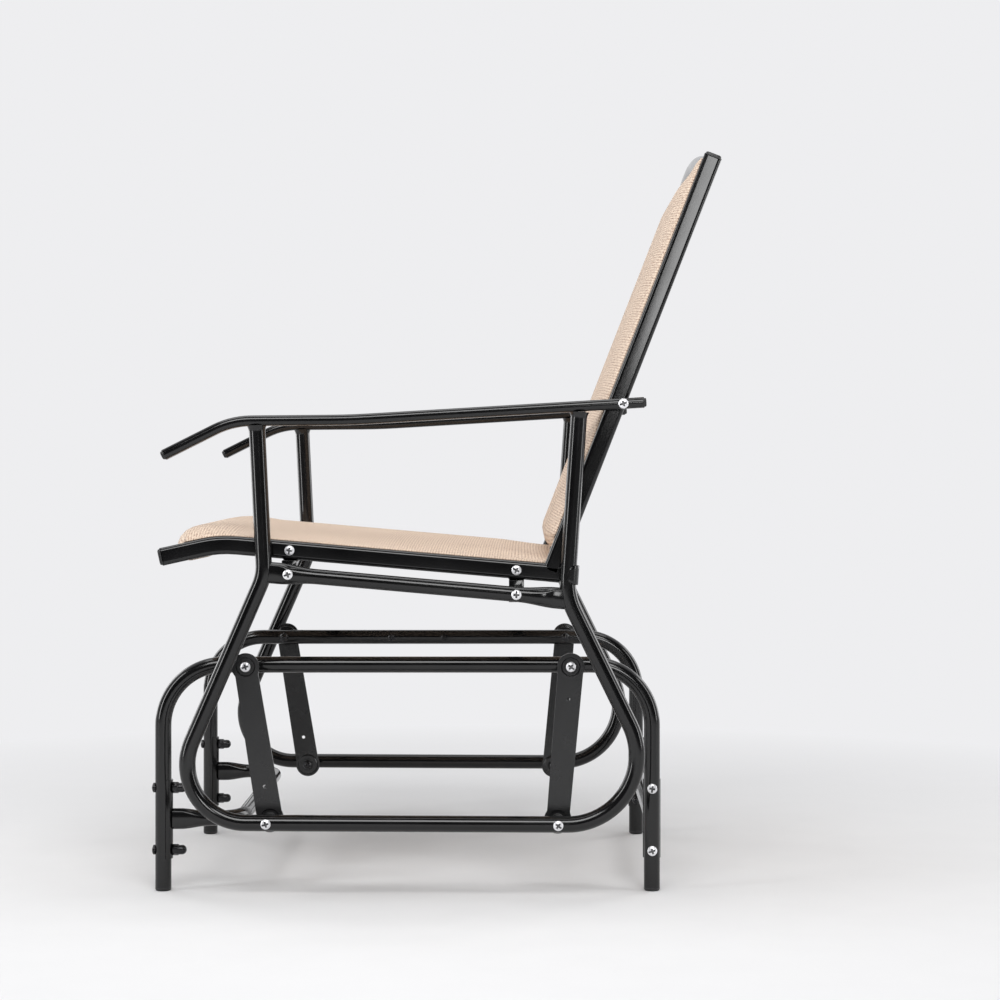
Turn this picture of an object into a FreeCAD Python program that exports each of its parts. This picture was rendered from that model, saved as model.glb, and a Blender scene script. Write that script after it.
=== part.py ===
import FreeCAD, Part
import math
import os
from FreeCAD import Vector

# Glider chair for a patio or porch: a low tubular base, four swinging links and a sling seat.
# Millimetres. +Z is up, the chair faces -X, and +Y is the right side seen from behind it.
# The origin is on the floor, under the middle of the chair.

# Tubes
FRAME_TUBE = 20.0            # diameter of the base frames and the side loops
CROSS_TUBE = 18.0            # diameter of the crossbars, stretchers and seat bars
SUPPORT_TUBE = 18.5          # diameter of the rails between the posts
FLAT_END = (26.0, 9.0)       # a tube's end where it is pressed flat: height and thickness
FLAT_LENGTH = 20.0           # length of the part that is pressed flat

# Base
BASE_WIDTH = 454.0           # between the middles of the two side frames
BASE_HEIGHT = 280.0          # middle of the top rail above the floor
BASE_FRONT = -341.3          # middle of the front legs
BASE_LENGTH = 606.0          # from the front legs to the rear legs
BASE_BEND = 75.0             # bend radius of the side frames
CROSSBAR_HEIGHT = 89.0
CROSSBAR_DEPTH = 96.0        # how far the front crossbar reaches behind the legs
CROSSBAR_BEND = 48.0
SADDLE_HEIGHT = 97.5
SADDLE_WALL = 2.0
SADDLE_HALF_ANGLE = 66.0
SADDLE_BOLT_SPACING = 77.0
FOOT_RIM = 4.0
RAIL_SCREW_PLACES = (258.5, 334.0)

# Links
PIVOT_FRONT = 105.7          # from the front legs back to the front upper pivots
PIVOT_SPACING = 399.3        # between the upper pivots
COUPLER = 353.2              # between the lower pivots
LINK_LENGTH = 188.0          # between a link's pivots
FRONT_LINK_ANGLE = 9.2       # how far the front links lean back at rest, in degrees
LINK_OUT = 32.0              # from the base frame's middle to the inner face of a strap
LINK_SHEET = 3.0
LINK_WIDE = 31.5
LINK_NARROW = 28.0
LINK_DISC = 34.0
CUP_MOUTH = 24.0
CUP_FLOOR = 21.0
CUP_DEPTH = 3.0
LINK_HOLE = 4.5
LINK_HOLE_PLACE = 39.5       # from the nearer pivot
BEARING_OUTER = 15.0
BEARING_STAND = 1.0          # how far a bearing stands out of its cup's floor

# Side loops
LOOP_OUT = 41.0              # from the inner face of a strap to the loop's middle
FRONT_CORNER = -309.6        # lower front corner of the loop before its bend
REAR_CORNER = 322.8
FRONT_KNEE = (-179.5, 301.0)
REAR_KNEE = (186.8, 276.0)
FRONT_POST_TOP = (-188.3, 482.0)
REAR_POST_TOP = (202.0, 498.0)
FRONT_CORNER_BEND = 71.0
REAR_CORNER_BEND = 84.0
FRONT_KNEE_BEND = 60.0
REAR_KNEE_BEND = 80.0

# Armrests
ARM_WIDTH = 24.0
ARM_THICK = 13.0
ARM_TIP = (-299.2, 447.2)
ARM_FRONT_BEND_AT = (-218.2, 487.8)
ARM_MIDDLE_BEND_AT = (-75.5, 489.0)
ARM_REAR = (279.1, 510.1)
ARM_FRONT_BEND = 102.0
ARM_MIDDLE_BEND = 900.0
ARM_BOLT_FROM_REAR = 24.0
PLUG = 4.0                   # how far an end plug stands out of its tube

# Seat rails and back uprights
RAIL_WIDTH = 20.0            # across the chair
RAIL_TALL = 22.0
RAIL_ROUND = 4.5
RAIL_INSET = 22.0            # from the loop's middle in to the rails' and uprights' middle
RAIL_TIP = (-305.7, 322.6)
RAIL_BEND_AT = (-236.3, 338.0)
RAIL_REAR = (196.0, 300.5)
RAIL_BEND = 138.0
BACK_FOOT = (168.8, 305.6)   # where an upright's middle line meets the seat rail's
BACK_LEAN = 21.3
BACK_LENGTH = 541.0
TOP_BAR_RISE = 26.0          # straight up, at the middle of the arch
TOP_BAR_DROP = 12.0
LOWER_BAR_AT = 42.0          # along the uprights from their foot
SEAT_BAR_FROM_TIP = 32.0

# Support rails and stretchers
SUPPORT_FRONT = (-173.7, 304.3)
SUPPORT_REAR = (181.0, 272.9)
STRETCHER_PLACES = (-150.0, 126.0)
BRACKET_WIDTH = 18.3
BRACKET_SHEET = 2.5
BRACKET_EDGE = 10.0          # from a bolt to the nearer end of its bracket
BRACKET_DROP = 1.2           # clears the rail's slope over the bracket's width

# Slings
SLING = 2.0
SLING_SIDE = 6.0             # from a rail's outer face to the sling's edge
SEAT_CROWN = 12.0
BACK_CROWN = 10.0
SEAT_SLING_FRONT = 26.0      # from the rail's tip to the sling's front edge
SEAT_SLING_REAR = 42.0
BACK_SLING_LOW = 38.0
BACK_SLING_TOP = 6.0         # from the uprights' tops down to the sling's hem
SOFT_GAP = 0.3               # between a sling and what it lies on

# Fasteners
BOLT = 8.0
BOLT_HOLE = 8.2
BOLT_HEAD = 12.0
BOLT_HEAD_TALL = 4.0
SCREW_HEAD = 10.0
SCREW_HEAD_TALL = 2.5
NUT = 13.0
CAP_NUT_LONG = 15.0
SMALL_NUT_LONG = 9.0
RUNNING_GAP = 0.05           # between a pivot bolt and its bearing, on the radius
FACE_GAP = 0.3               # between faces that turn past each other
SPACER = 12.0

UP = Vector(0, 0, 1)
ACROSS = Vector(0, 1, 0)
ALONG = Vector(1, 0, 0)
LEFT = -1
RIGHT = 1


def unit(vector):
    return Vector(vector).normalize()


def turned_plane(angle):
    """A direction in the side view, leaning back from straight up by the angle in degrees."""
    lean = math.radians(angle)
    return Vector(math.sin(lean), 0, math.cos(lean))


# The four pivots of one side. The seat is drawn about the middle of the lower ones.
def link_end(top, lean):
    return top - turned_plane(-lean) * LINK_LENGTH


PIVOT_TOPS = {
    "front": Vector(BASE_FRONT + PIVOT_FRONT, 0, BASE_HEIGHT),
    "rear": Vector(BASE_FRONT + PIVOT_FRONT + PIVOT_SPACING, 0, BASE_HEIGHT),
}


def rear_lower_pivot(front_lower):
    """Where a rear link's end lies, so that the runner keeps its length between the pivots."""
    reach = PIVOT_TOPS["rear"] - front_lower
    along = (COUPLER ** 2 - LINK_LENGTH ** 2 + reach.Length ** 2) / (2 * reach.Length)
    off = math.sqrt(COUPLER ** 2 - along ** 2)
    direction = unit(reach)
    return front_lower + direction * along + direction.cross(ACROSS) * -off


FRONT_LOWER = link_end(PIVOT_TOPS["front"], FRONT_LINK_ANGLE)
PIVOT_ENDS = {"front": FRONT_LOWER, "rear": rear_lower_pivot(FRONT_LOWER)}
SEAT_ORIGIN = (PIVOT_ENDS["front"] + PIVOT_ENDS["rear"]) * 0.5
RUNNER_SLOPE = ((PIVOT_ENDS["rear"].z - PIVOT_ENDS["front"].z)
                / (PIVOT_ENDS["rear"].x - PIVOT_ENDS["front"].x))

BASE_PLANE = BASE_WIDTH / 2
LINK_PLANE = BASE_PLANE + LINK_OUT
LOOP_PLANE = LINK_PLANE + LOOP_OUT
RAIL_PLANE = LOOP_PLANE - RAIL_INSET
BASE_REAR = BASE_FRONT + BASE_LENGTH
CUP_BACK = LINK_PLANE - CUP_DEPTH
LINK_FACE = LINK_PLANE + LINK_SHEET
CUP_FACE = CUP_BACK + LINK_SHEET
BEARING_FACE = CUP_FACE + BEARING_STAND
RAIL_OUT = RAIL_PLANE + RAIL_WIDTH / 2
RAIL_IN = RAIL_PLANE - RAIL_WIDTH / 2
BACK_UP = turned_plane(BACK_LEAN)
BACK_FORWARD = Vector(-BACK_UP.z, 0, BACK_UP.x)


def seat_point(place, side_offset=0.0):
    """A point of the seat, from its place in the side view and its distance across."""
    return SEAT_ORIGIN + Vector(place[0], side_offset, place[1])


def bent_bar(points, radii, section):
    """A bar of one section: straight runs through the points, joined by arcs of the radii.

    The section is a face at the first point, square to the first run.
    """
    face = section.copy()
    pieces = []
    start = points[0]
    for corner, after, radius in zip(points[1:-1], points[2:], radii):
        back = unit(start - corner)
        ahead = unit(after - corner)
        half = back.getAngle(ahead) / 2
        run = corner + back * (radius / math.tan(half)) - start
        centre = corner + unit(back + ahead) * (radius / math.sin(half))
        axis = ahead.cross(back)
        turn = 180 - 2 * math.degrees(half)
        pieces.append(face.extrude(run))
        face.translate(run)
        pieces.append(face.revolve(centre, axis, turn))
        face.rotate(centre, axis, turn)
        start = corner + ahead * (radius / math.tan(half))
    pieces.append(face.extrude(points[-1] - start))
    for piece in pieces:
        if piece.Volume < 0:
            piece.reverse()
    return pieces[0].fuse(pieces[1:]).removeSplitter().Solids[0]


def rounded_outline(origin, wide, tall, width, height, radius):
    """A rectangle with round corners, or a flat oval where the radius is half its height."""
    half_w = width / 2
    half_h = height / 2
    slant = radius * (1 - math.sqrt(0.5))

    def at(across, up):
        return origin + wide * across + tall * up

    edges = []
    for sx, sy in ((1, 1), (-1, 1), (-1, -1), (1, -1)):
        side_end = at(sx * half_w, sy * (half_h - radius))
        corner = at(sx * (half_w - slant), sy * (half_h - slant))
        top_end = at(sx * (half_w - radius), sy * half_h)
        ends = (side_end, top_end) if sx * sy > 0 else (top_end, side_end)
        edges.append((ends[0], corner, ends[1]))
    outline = []
    for index, (first, corner, last) in enumerate(edges):
        outline.append(Part.Arc(first, corner, last).toShape())
        following = edges[(index + 1) % 4][0]
        if (following - last).Length > 0.01:
            outline.append(Part.LineSegment(last, following).toShape())
    return Part.Wire(outline)


def round_tube(points, radii, diameter):
    circle = Part.Circle(points[0], unit(points[1] - points[0]), diameter / 2)
    return bent_bar(points, radii, Part.Face(Part.Wire(circle.toShape())))


def shaped_tube(points, radii, width, height, radius):
    """A tube that runs in the side view, with its width across the chair."""
    direction = unit(points[1] - points[0])
    outline = rounded_outline(points[0], ACROSS, ACROSS.cross(direction), width, height, radius)
    return bent_bar(points, radii, Part.Face(outline))


def rod(start, end, diameter):
    return Part.makeCylinder(diameter / 2, (end - start).Length, start, unit(end - start))


def flattened_end(end, inward, tall_axis):
    """The end of a round tube, pressed flat for its weld."""
    outline = rounded_outline(end, tall_axis, inward.cross(tall_axis), *FLAT_END,
                              FLAT_END[1] / 2 - 0.5)
    return Part.Face(outline).extrude(inward * FLAT_LENGTH)


def bolt(seat, out, length):
    """A bolt whose head sits on the seat and whose shank runs the other way."""
    head = rod(seat, seat + out * BOLT_HEAD_TALL, BOLT_HEAD)
    return head.fuse(rod(seat, seat - out * length, BOLT)).removeSplitter()


def cap_nut(seat, out, long):
    """A nut with a hexagon at its seat and a cap that narrows outward."""
    side = ALONG if abs(out.x) < 0.5 else ACROSS
    other = out.cross(side)
    corners = []
    for step in range(7):
        turn = math.radians(60 * step)
        corners.append(seat + (side * math.cos(turn) + other * math.sin(turn)) * (NUT / 2))
    hexagon = Part.Face(Part.makePolygon(corners)).extrude(out * long * 0.5)
    cap = Part.makeCone(NUT * 0.42, NUT * 0.2, long * 0.5, seat + out * long * 0.5, out)
    return hexagon.fuse(cap)


def mirrored(shape):
    return shape.mirror(Vector(0, 0, 0), ACROSS)


def write(name, shapes):
    solids = [solid for shape in shapes for solid in shape.Solids]
    if len(solids) != len(shapes):
        raise RuntimeError(name + " has lost a piece or is in more pieces than it should be")
    for solid in solids:
        if not solid.isValid() or solid.Volume <= 0:
            raise RuntimeError(name + " holds a solid that is not sound")
    part = solids[0] if len(solids) == 1 else Part.makeCompound(solids)
    part.exportStep("parts/" + name + ".step")


def write_pair(name, right_shape):
    """The same piece on both sides, each in its own file."""
    write(name + "_right", [right_shape])
    write(name + "_left", [mirrored(right_shape)])


def write_both(name, right_shapes):
    """Small pieces of both sides together in one file."""
    write(name, right_shapes + [mirrored(shape) for shape in right_shapes])


os.makedirs("parts", exist_ok=True)

# Base side frames, with their feet
base_corners = [
    Vector(BASE_FRONT, BASE_PLANE, FOOT_RIM),
    Vector(BASE_FRONT, BASE_PLANE, BASE_HEIGHT),
    Vector(BASE_REAR, BASE_PLANE, BASE_HEIGHT),
    Vector(BASE_REAR, BASE_PLANE, FOOT_RIM),
]
base_frame = round_tube(base_corners, [BASE_BEND, BASE_BEND], FRAME_TUBE)
feet = []
for leg_x in (BASE_FRONT, BASE_REAR):
    foot = Vector(leg_x, BASE_PLANE, 0)
    sole = Part.makeCylinder(FRAME_TUBE / 2 + 0.3, FOOT_RIM - 1.5, foot + UP * 1.5, UP)
    tread = Part.makeCone(FRAME_TUBE / 2 - 1.2, FRAME_TUBE / 2 + 0.3, 1.5, foot, UP)
    feet.append(sole.fuse(tread))

upper_bolts = []
upper_spacers = []
upper_nuts = []
for end in ("front", "rear"):
    pivot = PIVOT_TOPS[end]
    hole = rod(pivot + ACROSS * (BASE_PLANE - FRAME_TUBE), pivot + ACROSS * LINK_PLANE, BOLT_HOLE)
    tube_face = pivot + ACROSS * (BASE_PLANE + FRAME_TUBE / 2)
    spacer = rod(tube_face, pivot + ACROSS * (CUP_BACK - FACE_GAP), SPACER)
    nut_seat = pivot + ACROSS * (BASE_PLANE - FRAME_TUBE / 2)
    nut = cap_nut(nut_seat, -ACROSS, SMALL_NUT_LONG)
    head_seat = pivot + ACROSS * (BEARING_FACE + FACE_GAP)
    upper_bolts.append(bolt(head_seat, ACROSS, head_seat.y - nut_seat.y))
    upper_spacers.append(spacer.cut(hole))
    upper_nuts.append(nut)
    base_frame = base_frame.cut(hole)

rail_screws = []
for screw_place in RAIL_SCREW_PLACES:
    place = Vector(BASE_FRONT + screw_place, BASE_PLANE - FRAME_TUBE / 2, BASE_HEIGHT)
    rail_screws.append(rod(place, place - ACROSS * SCREW_HEAD_TALL, SCREW_HEAD))

# Saddles, crossbars and their bolts
saddle_low = CROSSBAR_HEIGHT - SADDLE_HEIGHT / 2
saddle_bolt_heights = [CROSSBAR_HEIGHT + SADDLE_BOLT_SPACING / 2,
                       CROSSBAR_HEIGHT - SADDLE_BOLT_SPACING / 2]


def saddle(leg_x, facing):
    """A curved plate against a leg, wrapping it on the side that it faces."""
    inner = FRAME_TUBE / 2
    outer = inner + SADDLE_WALL
    foot = Vector(leg_x, BASE_PLANE, saddle_low)
    ring = Part.makeCylinder(outer, SADDLE_HEIGHT, foot, UP, 2 * SADDLE_HALF_ANGLE)
    ring = ring.cut(Part.makeCylinder(inner, SADDLE_HEIGHT, foot, UP))
    start = math.degrees(math.atan2(facing.y, facing.x)) - SADDLE_HALF_ANGLE
    ring.rotate(foot, UP, start)
    return ring


def saddle_fasteners(leg_x, facing, nut_long):
    """Two bolts through a leg and its saddle, with their cap nuts on the saddle."""
    bolts = []
    nuts = []
    leg_hole = []
    for height in saddle_bolt_heights:
        axis_point = Vector(leg_x, BASE_PLANE, height)
        head_seat = axis_point - facing * (FRAME_TUBE / 2)
        nut_seat = axis_point + facing * (FRAME_TUBE / 2 + SADDLE_WALL)
        bolts.append(bolt(head_seat, -facing, FRAME_TUBE + SADDLE_WALL))
        nuts.append(cap_nut(nut_seat, facing, nut_long))
        leg_hole.append(rod(axis_point - facing * FRAME_TUBE, axis_point + facing * FRAME_TUBE,
                            BOLT_HOLE))
    return bolts, nuts, leg_hole


front_saddle = saddle(BASE_FRONT, ALONG)
rear_saddle = saddle(BASE_REAR, -ACROSS)
front_bolts, front_nuts, front_holes = saddle_fasteners(BASE_FRONT, ALONG, CAP_NUT_LONG + 2)
rear_bolts, rear_nuts, rear_holes = saddle_fasteners(BASE_REAR, -ACROSS, CAP_NUT_LONG)
for hole in front_holes + rear_holes:
    base_frame = base_frame.cut(hole)
for hole in front_holes:
    front_saddle = front_saddle.cut(hole)
for hole in rear_holes:
    rear_saddle = rear_saddle.cut(hole)

SADDLE_OUT = FRAME_TUBE / 2 + SADDLE_WALL
bar_end = Vector(BASE_FRONT + SADDLE_OUT - 0.5, BASE_PLANE, CROSSBAR_HEIGHT)
bar_round = bar_end + ALONG * FLAT_LENGTH
bar_corner = Vector(BASE_FRONT + CROSSBAR_DEPTH, BASE_PLANE, CROSSBAR_HEIGHT)


def opposite(point):
    return Vector(point.x, -point.y, point.z)


front_bar_points = [bar_round, bar_corner, opposite(bar_corner), opposite(bar_round)]
flat_front = flattened_end(bar_end, ALONG, UP)
front_crossbar = round_tube(front_bar_points, [CROSSBAR_BEND, CROSSBAR_BEND], CROSS_TUBE)
front_crossbar = front_crossbar.fuse([flat_front, mirrored(flat_front)]).removeSplitter()
front_crossbar = front_crossbar.cut(front_saddle).cut(mirrored(front_saddle))

rear_end = Vector(BASE_REAR, BASE_PLANE - SADDLE_OUT + 0.5, CROSSBAR_HEIGHT)
rear_round = rear_end - ACROSS * FLAT_LENGTH
flat_rear = flattened_end(rear_end, -ACROSS, UP)
rear_crossbar = rod(rear_round, opposite(rear_round), CROSS_TUBE)
rear_crossbar = rear_crossbar.fuse([flat_rear, mirrored(flat_rear)]).removeSplitter()
rear_crossbar = rear_crossbar.cut(rear_saddle).cut(mirrored(rear_saddle))

write_pair("base_frame", base_frame)
write_both("foot_plugs", feet)
write_both("upper_pivot_bolts", upper_bolts)
write_both("upper_pivot_spacers", upper_spacers)
write_both("upper_pivot_nuts", upper_nuts)
write_both("rail_screws", rail_screws)
write_both("front_saddles", [front_saddle])
write_both("rear_saddles", [rear_saddle])
write_both("front_crossbar_bolts", front_bolts)
write_both("front_crossbar_nuts", front_nuts)
write_both("rear_crossbar_bolts", rear_bolts)
write_both("rear_crossbar_nuts", rear_nuts)
write("front_crossbar", [front_crossbar])
write("rear_crossbar", [rear_crossbar])


# Links: pressed steel straps, each with a cup for a bearing at both ends
def link_strap(hole_low):
    """A strap hanging straight down from a pivot at the origin."""
    low = Vector(0, LINK_PLANE, -LINK_LENGTH)
    top_half = (LINK_NARROW if hole_low else LINK_WIDE) / 2
    low_half = (LINK_WIDE if hole_low else LINK_NARROW) / 2
    top = Vector(0, LINK_PLANE, 0)
    sides = Part.makePolygon([top + ALONG * top_half, top - ALONG * top_half,
                              low - ALONG * low_half, low + ALONG * low_half,
                              top + ALONG * top_half])
    strap = Part.Face(sides).extrude(ACROSS * LINK_SHEET)
    for centre in (top, low):
        strap = strap.fuse(Part.makeCylinder(LINK_DISC / 2, LINK_SHEET, centre, ACROSS))
    strap = strap.removeSplitter()
    neck = [edge for edge in strap.Edges
            if edge.Length < LINK_SHEET + 0.1 and abs(edge.tangentAt(edge.FirstParameter).y) > 0.9]
    strap = strap.makeFillet(6.0, neck)
    for centre in (top, low):
        cup_back = centre - ACROSS * CUP_DEPTH
        outer = Part.makeCone(CUP_FLOOR / 2 + LINK_SHEET * 0.8, CUP_MOUTH / 2 + LINK_SHEET * 0.8,
                              CUP_DEPTH, cup_back, ACROSS)
        recess = Part.makeCone(CUP_FLOOR / 2, CUP_MOUTH / 2, CUP_DEPTH, centre, ACROSS)
        seat = rod(cup_back, centre + ACROSS * LINK_SHEET, BEARING_OUTER)
        strap = strap.fuse(outer).cut(recess).cut(seat)
    small = low + UP * LINK_HOLE_PLACE if hole_low else top - UP * LINK_HOLE_PLACE
    strap = strap.cut(rod(small, small + ACROSS * LINK_SHEET, LINK_HOLE))
    return strap.removeSplitter()


def bearing(centre):
    """A plain bush pressed into the floor of a cup, which it stands out of a little."""
    back = centre + ACROSS * CUP_BACK
    ring = rod(back, centre + ACROSS * BEARING_FACE, BEARING_OUTER)
    bore = rod(back - ACROSS, centre + ACROSS * (BEARING_FACE + 1), BOLT + 2 * RUNNING_GAP)
    return ring.cut(bore)


def hung(shape, end):
    """A link shape, moved from the origin to its pivot and turned to its rest angle."""
    top = PIVOT_TOPS[end]
    swing = PIVOT_ENDS[end] - top
    moved = shape.copy()
    moved.rotate(Vector(0, 0, 0), ACROSS, math.degrees(math.atan2(-swing.x, -swing.z)))
    moved.translate(top)
    return moved


def rear_pin():
    """The pin that holds a rear link's lower bearing, cut short inside its cup."""
    face = Vector(0, BEARING_FACE, -LINK_LENGTH)
    shank = rod(face, face - ACROSS * (BEARING_FACE - CUP_BACK), BOLT)
    return rod(face, face + ACROSS * 1.6, BOLT_HEAD).fuse(shank).removeSplitter()


def inner_nut(low):
    seat = low + ACROSS * CUP_BACK
    return cap_nut(seat, -ACROSS, CAP_NUT_LONG - 3)


for end, side, hole_low in (("front", LEFT, True), ("front", RIGHT, True),
                            ("rear", LEFT, False), ("rear", RIGHT, True)):
    strap = hung(link_strap(hole_low), end)
    low = Vector(0, 0, -LINK_LENGTH)
    bearings = [hung(bearing(Vector(0, 0, 0)), end), hung(bearing(low), end)]
    pieces = {"link": [strap], "link_bearings": bearings}
    if end == "rear":
        pin = hung(rear_pin(), end)
        nut = hung(inner_nut(low), end)
        pieces["link_pin"] = [pin, nut]
    for kind, shapes in pieces.items():
        name = "_".join([end, kind.replace("link", "link_" + ("left" if side == LEFT else "right"))])
        write(name, [mirrored(shape) for shape in shapes] if side == LEFT else shapes)


# Side loops: each tube is the front post, the runner and the rear post
def loop_point(place, side=LOOP_PLANE):
    return seat_point(place, side)


front_corner = (FRONT_CORNER, FRONT_CORNER * RUNNER_SLOPE)
rear_corner = (REAR_CORNER, REAR_CORNER * RUNNER_SLOPE)
side_loop = round_tube(
    [loop_point(p) for p in (FRONT_POST_TOP, FRONT_KNEE, front_corner, rear_corner, REAR_KNEE,
                             REAR_POST_TOP)],
    [FRONT_KNEE_BEND, FRONT_CORNER_BEND, REAR_CORNER_BEND, REAR_KNEE_BEND], FRAME_TUBE)

ARM_ROUND = ARM_THICK / 2 - 0.5
armrest = shaped_tube(
    [loop_point(p) for p in (ARM_TIP, ARM_FRONT_BEND_AT, ARM_MIDDLE_BEND_AT, ARM_REAR)],
    [ARM_FRONT_BEND, ARM_MIDDLE_BEND], ARM_WIDTH, ARM_THICK, ARM_ROUND)
side_loop = side_loop.cut(armrest)
side_loop = max(side_loop.Solids, key=lambda solid: solid.Volume)


def end_plug(tip, out, width, height, radius):
    """A plastic plug that closes a tube, with its rim the size of the tube."""
    outline = rounded_outline(tip, ACROSS, ACROSS.cross(out), width, height, radius)
    small = rounded_outline(tip + out * PLUG, ACROSS, ACROSS.cross(out), width - 3, height - 3,
                            radius - 1.5)
    return Part.makeLoft([outline, small], True, True)


arm_tip = loop_point(ARM_TIP)
arm_out = unit(arm_tip - loop_point(ARM_FRONT_BEND_AT))
arm_rear = loop_point(ARM_REAR)
arm_back = unit(arm_rear - loop_point(ARM_MIDDLE_BEND_AT))
arm_plugs = [end_plug(arm_tip, arm_out, ARM_WIDTH, ARM_THICK, ARM_ROUND),
             end_plug(arm_rear, arm_back, ARM_WIDTH, ARM_THICK, ARM_ROUND)]

# Seat rails and back uprights
seat_rail = shaped_tube(
    [seat_point(p, RAIL_PLANE) for p in (RAIL_TIP, RAIL_BEND_AT, RAIL_REAR)],
    [RAIL_BEND], RAIL_WIDTH, RAIL_TALL, RAIL_ROUND)
rail_tip = seat_point(RAIL_TIP, RAIL_PLANE)
rail_out = unit(rail_tip - seat_point(RAIL_BEND_AT, RAIL_PLANE))
rail_plug = end_plug(rail_tip, rail_out, RAIL_WIDTH, RAIL_TALL, RAIL_ROUND)

back_foot = seat_point(BACK_FOOT, RAIL_PLANE)
back_top = back_foot + BACK_UP * BACK_LENGTH
upright = shaped_tube([back_foot - BACK_UP * RAIL_TALL, back_top], [],
                      RAIL_WIDTH, RAIL_TALL, RAIL_ROUND)
rail_line = unit(seat_point(RAIL_REAR) - seat_point(RAIL_BEND_AT))
cut_size = 6 * RAIL_TALL
below_rail = Part.makeBox(cut_size, cut_size, cut_size, Vector(-0.5, -0.5, -1) * cut_size)
below_rail.rotate(Vector(0, 0, 0), ACROSS, -math.degrees(math.atan2(rail_line.z, rail_line.x)))
below_rail.translate(back_foot + rail_line.cross(ACROSS) * (RAIL_TALL / 2))
upright = upright.cut(below_rail)
upright_plug = end_plug(back_top, BACK_UP, RAIL_WIDTH, RAIL_TALL, RAIL_ROUND)

# Bars of the back and the seat
top_end = back_top - BACK_UP * TOP_BAR_DROP
top_end = Vector(top_end.x, RAIL_IN + 3, top_end.z)
arc_radius = (top_end.y ** 2 + TOP_BAR_RISE ** 2) / (2 * TOP_BAR_RISE)
arc_centre = Vector(top_end.x, 0, top_end.z) - UP * (arc_radius - TOP_BAR_RISE)
arc_axis = (top_end - arc_centre).cross(opposite(top_end) - arc_centre)
arc_turn = 2 * math.degrees(math.asin(top_end.y / arc_radius))
arc_start = Part.Circle(top_end, arc_axis.cross(top_end - arc_centre), FRAME_TUBE / 2)
top_bar = Part.Face(Part.Wire(arc_start.toShape())).revolve(arc_centre, arc_axis, arc_turn)
top_bar = top_bar.cut(upright).cut(mirrored(upright))
top_bar = max(top_bar.Solids, key=lambda solid: solid.Volume)

lower_at = back_foot + BACK_UP * LOWER_BAR_AT
lower_bar = rod(Vector(lower_at.x, RAIL_IN, lower_at.z), Vector(lower_at.x, -RAIL_IN, lower_at.z),
                CROSS_TUBE)
seat_bar_at = rail_tip - rail_out * SEAT_BAR_FROM_TIP
seat_bar = rod(Vector(seat_bar_at.x, RAIL_IN, seat_bar_at.z),
               Vector(seat_bar_at.x, -RAIL_IN, seat_bar_at.z), CROSS_TUBE)

# Support rails between the posts, with flattened ends welded on
support_front = loop_point(SUPPORT_FRONT)
support_rear = loop_point(SUPPORT_REAR)
support_line = unit(support_rear - support_front)
support_tall = support_line.cross(ACROSS)
front_flat = flattened_end(support_front - support_line * 6, support_line, support_tall)
rear_flat = flattened_end(support_rear + support_line * 6, -support_line, support_tall)
support_rail = rod(support_front + support_line * (FLAT_LENGTH - 6),
                   support_rear - support_line * (FLAT_LENGTH - 6), SUPPORT_TUBE)
support_rail = support_rail.fuse([front_flat, rear_flat]).removeSplitter().cut(side_loop)
support_rail = max(support_rail.Solids, key=lambda solid: solid.Volume)


# Stretchers with joggled end plates, bolted to the seat rails and the support rails
def height_on(start, end, x):
    share = (x - start.x) / (end.x - start.x)
    return start.z + (end.z - start.z) * share


rail_bend_point = seat_point(RAIL_BEND_AT, RAIL_PLANE)
rail_end_point = seat_point(RAIL_REAR, RAIL_PLANE)
SUPPORT_IN = LOOP_PLANE - SUPPORT_TUBE / 2
stretchers = []
brackets = []
stretcher_bolts = []
stretcher_nuts = []
for place in STRETCHER_PLACES:
    x = SEAT_ORIGIN.x + place
    rail_z = height_on(rail_bend_point, rail_end_point, x)
    support_z = height_on(support_front, support_rear, x)
    shelf_z = rail_z - RAIL_TALL / 2 - BRACKET_DROP
    outline = [
        (RAIL_IN - BRACKET_SHEET, rail_z + BRACKET_EDGE), (RAIL_IN, rail_z + BRACKET_EDGE),
        (RAIL_IN, shelf_z), (SUPPORT_IN, shelf_z), (SUPPORT_IN, support_z - BRACKET_EDGE),
        (SUPPORT_IN - BRACKET_SHEET, support_z - BRACKET_EDGE),
        (SUPPORT_IN - BRACKET_SHEET, shelf_z - BRACKET_SHEET),
        (RAIL_IN - BRACKET_SHEET, shelf_z - BRACKET_SHEET),
    ]
    corners = [Vector(x - BRACKET_WIDTH / 2, y, z) for y, z in outline]
    bracket = Part.Face(Part.makePolygon(corners + corners[:1])).extrude(ALONG * BRACKET_WIDTH)
    stretcher_z = shelf_z - BRACKET_SHEET + CROSS_TUBE / 2
    inner = Vector(x, RAIL_IN - BRACKET_SHEET, stretcher_z)
    stretchers.append(rod(inner, opposite(inner), CROSS_TUBE))
    upper = Vector(x, RAIL_OUT, rail_z)
    lower = Vector(x, LOOP_PLANE + SUPPORT_TUBE / 2, support_z)
    rail_bolt = bolt(upper, ACROSS, RAIL_WIDTH + BRACKET_SHEET)
    holes = [rod(upper + ACROSS * 10, upper - ACROSS * (RAIL_WIDTH + 10), BOLT_HOLE),
             rod(lower + ACROSS * 10, lower - ACROSS * (SUPPORT_TUBE + 10), BOLT_HOLE)]
    seat_rail = seat_rail.cut(holes[0])
    support_rail = support_rail.cut(holes[1])
    for hole in holes:
        bracket = bracket.cut(hole)
    nut_seat = Vector(x, SUPPORT_IN - BRACKET_SHEET, support_z)
    support_bolt = bolt(lower, ACROSS, lower.y - nut_seat.y)
    stretcher_nuts.append(cap_nut(nut_seat, -ACROSS, SMALL_NUT_LONG))
    stretcher_bolts += [rail_bolt, support_bolt]
    brackets.append(bracket)

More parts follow.
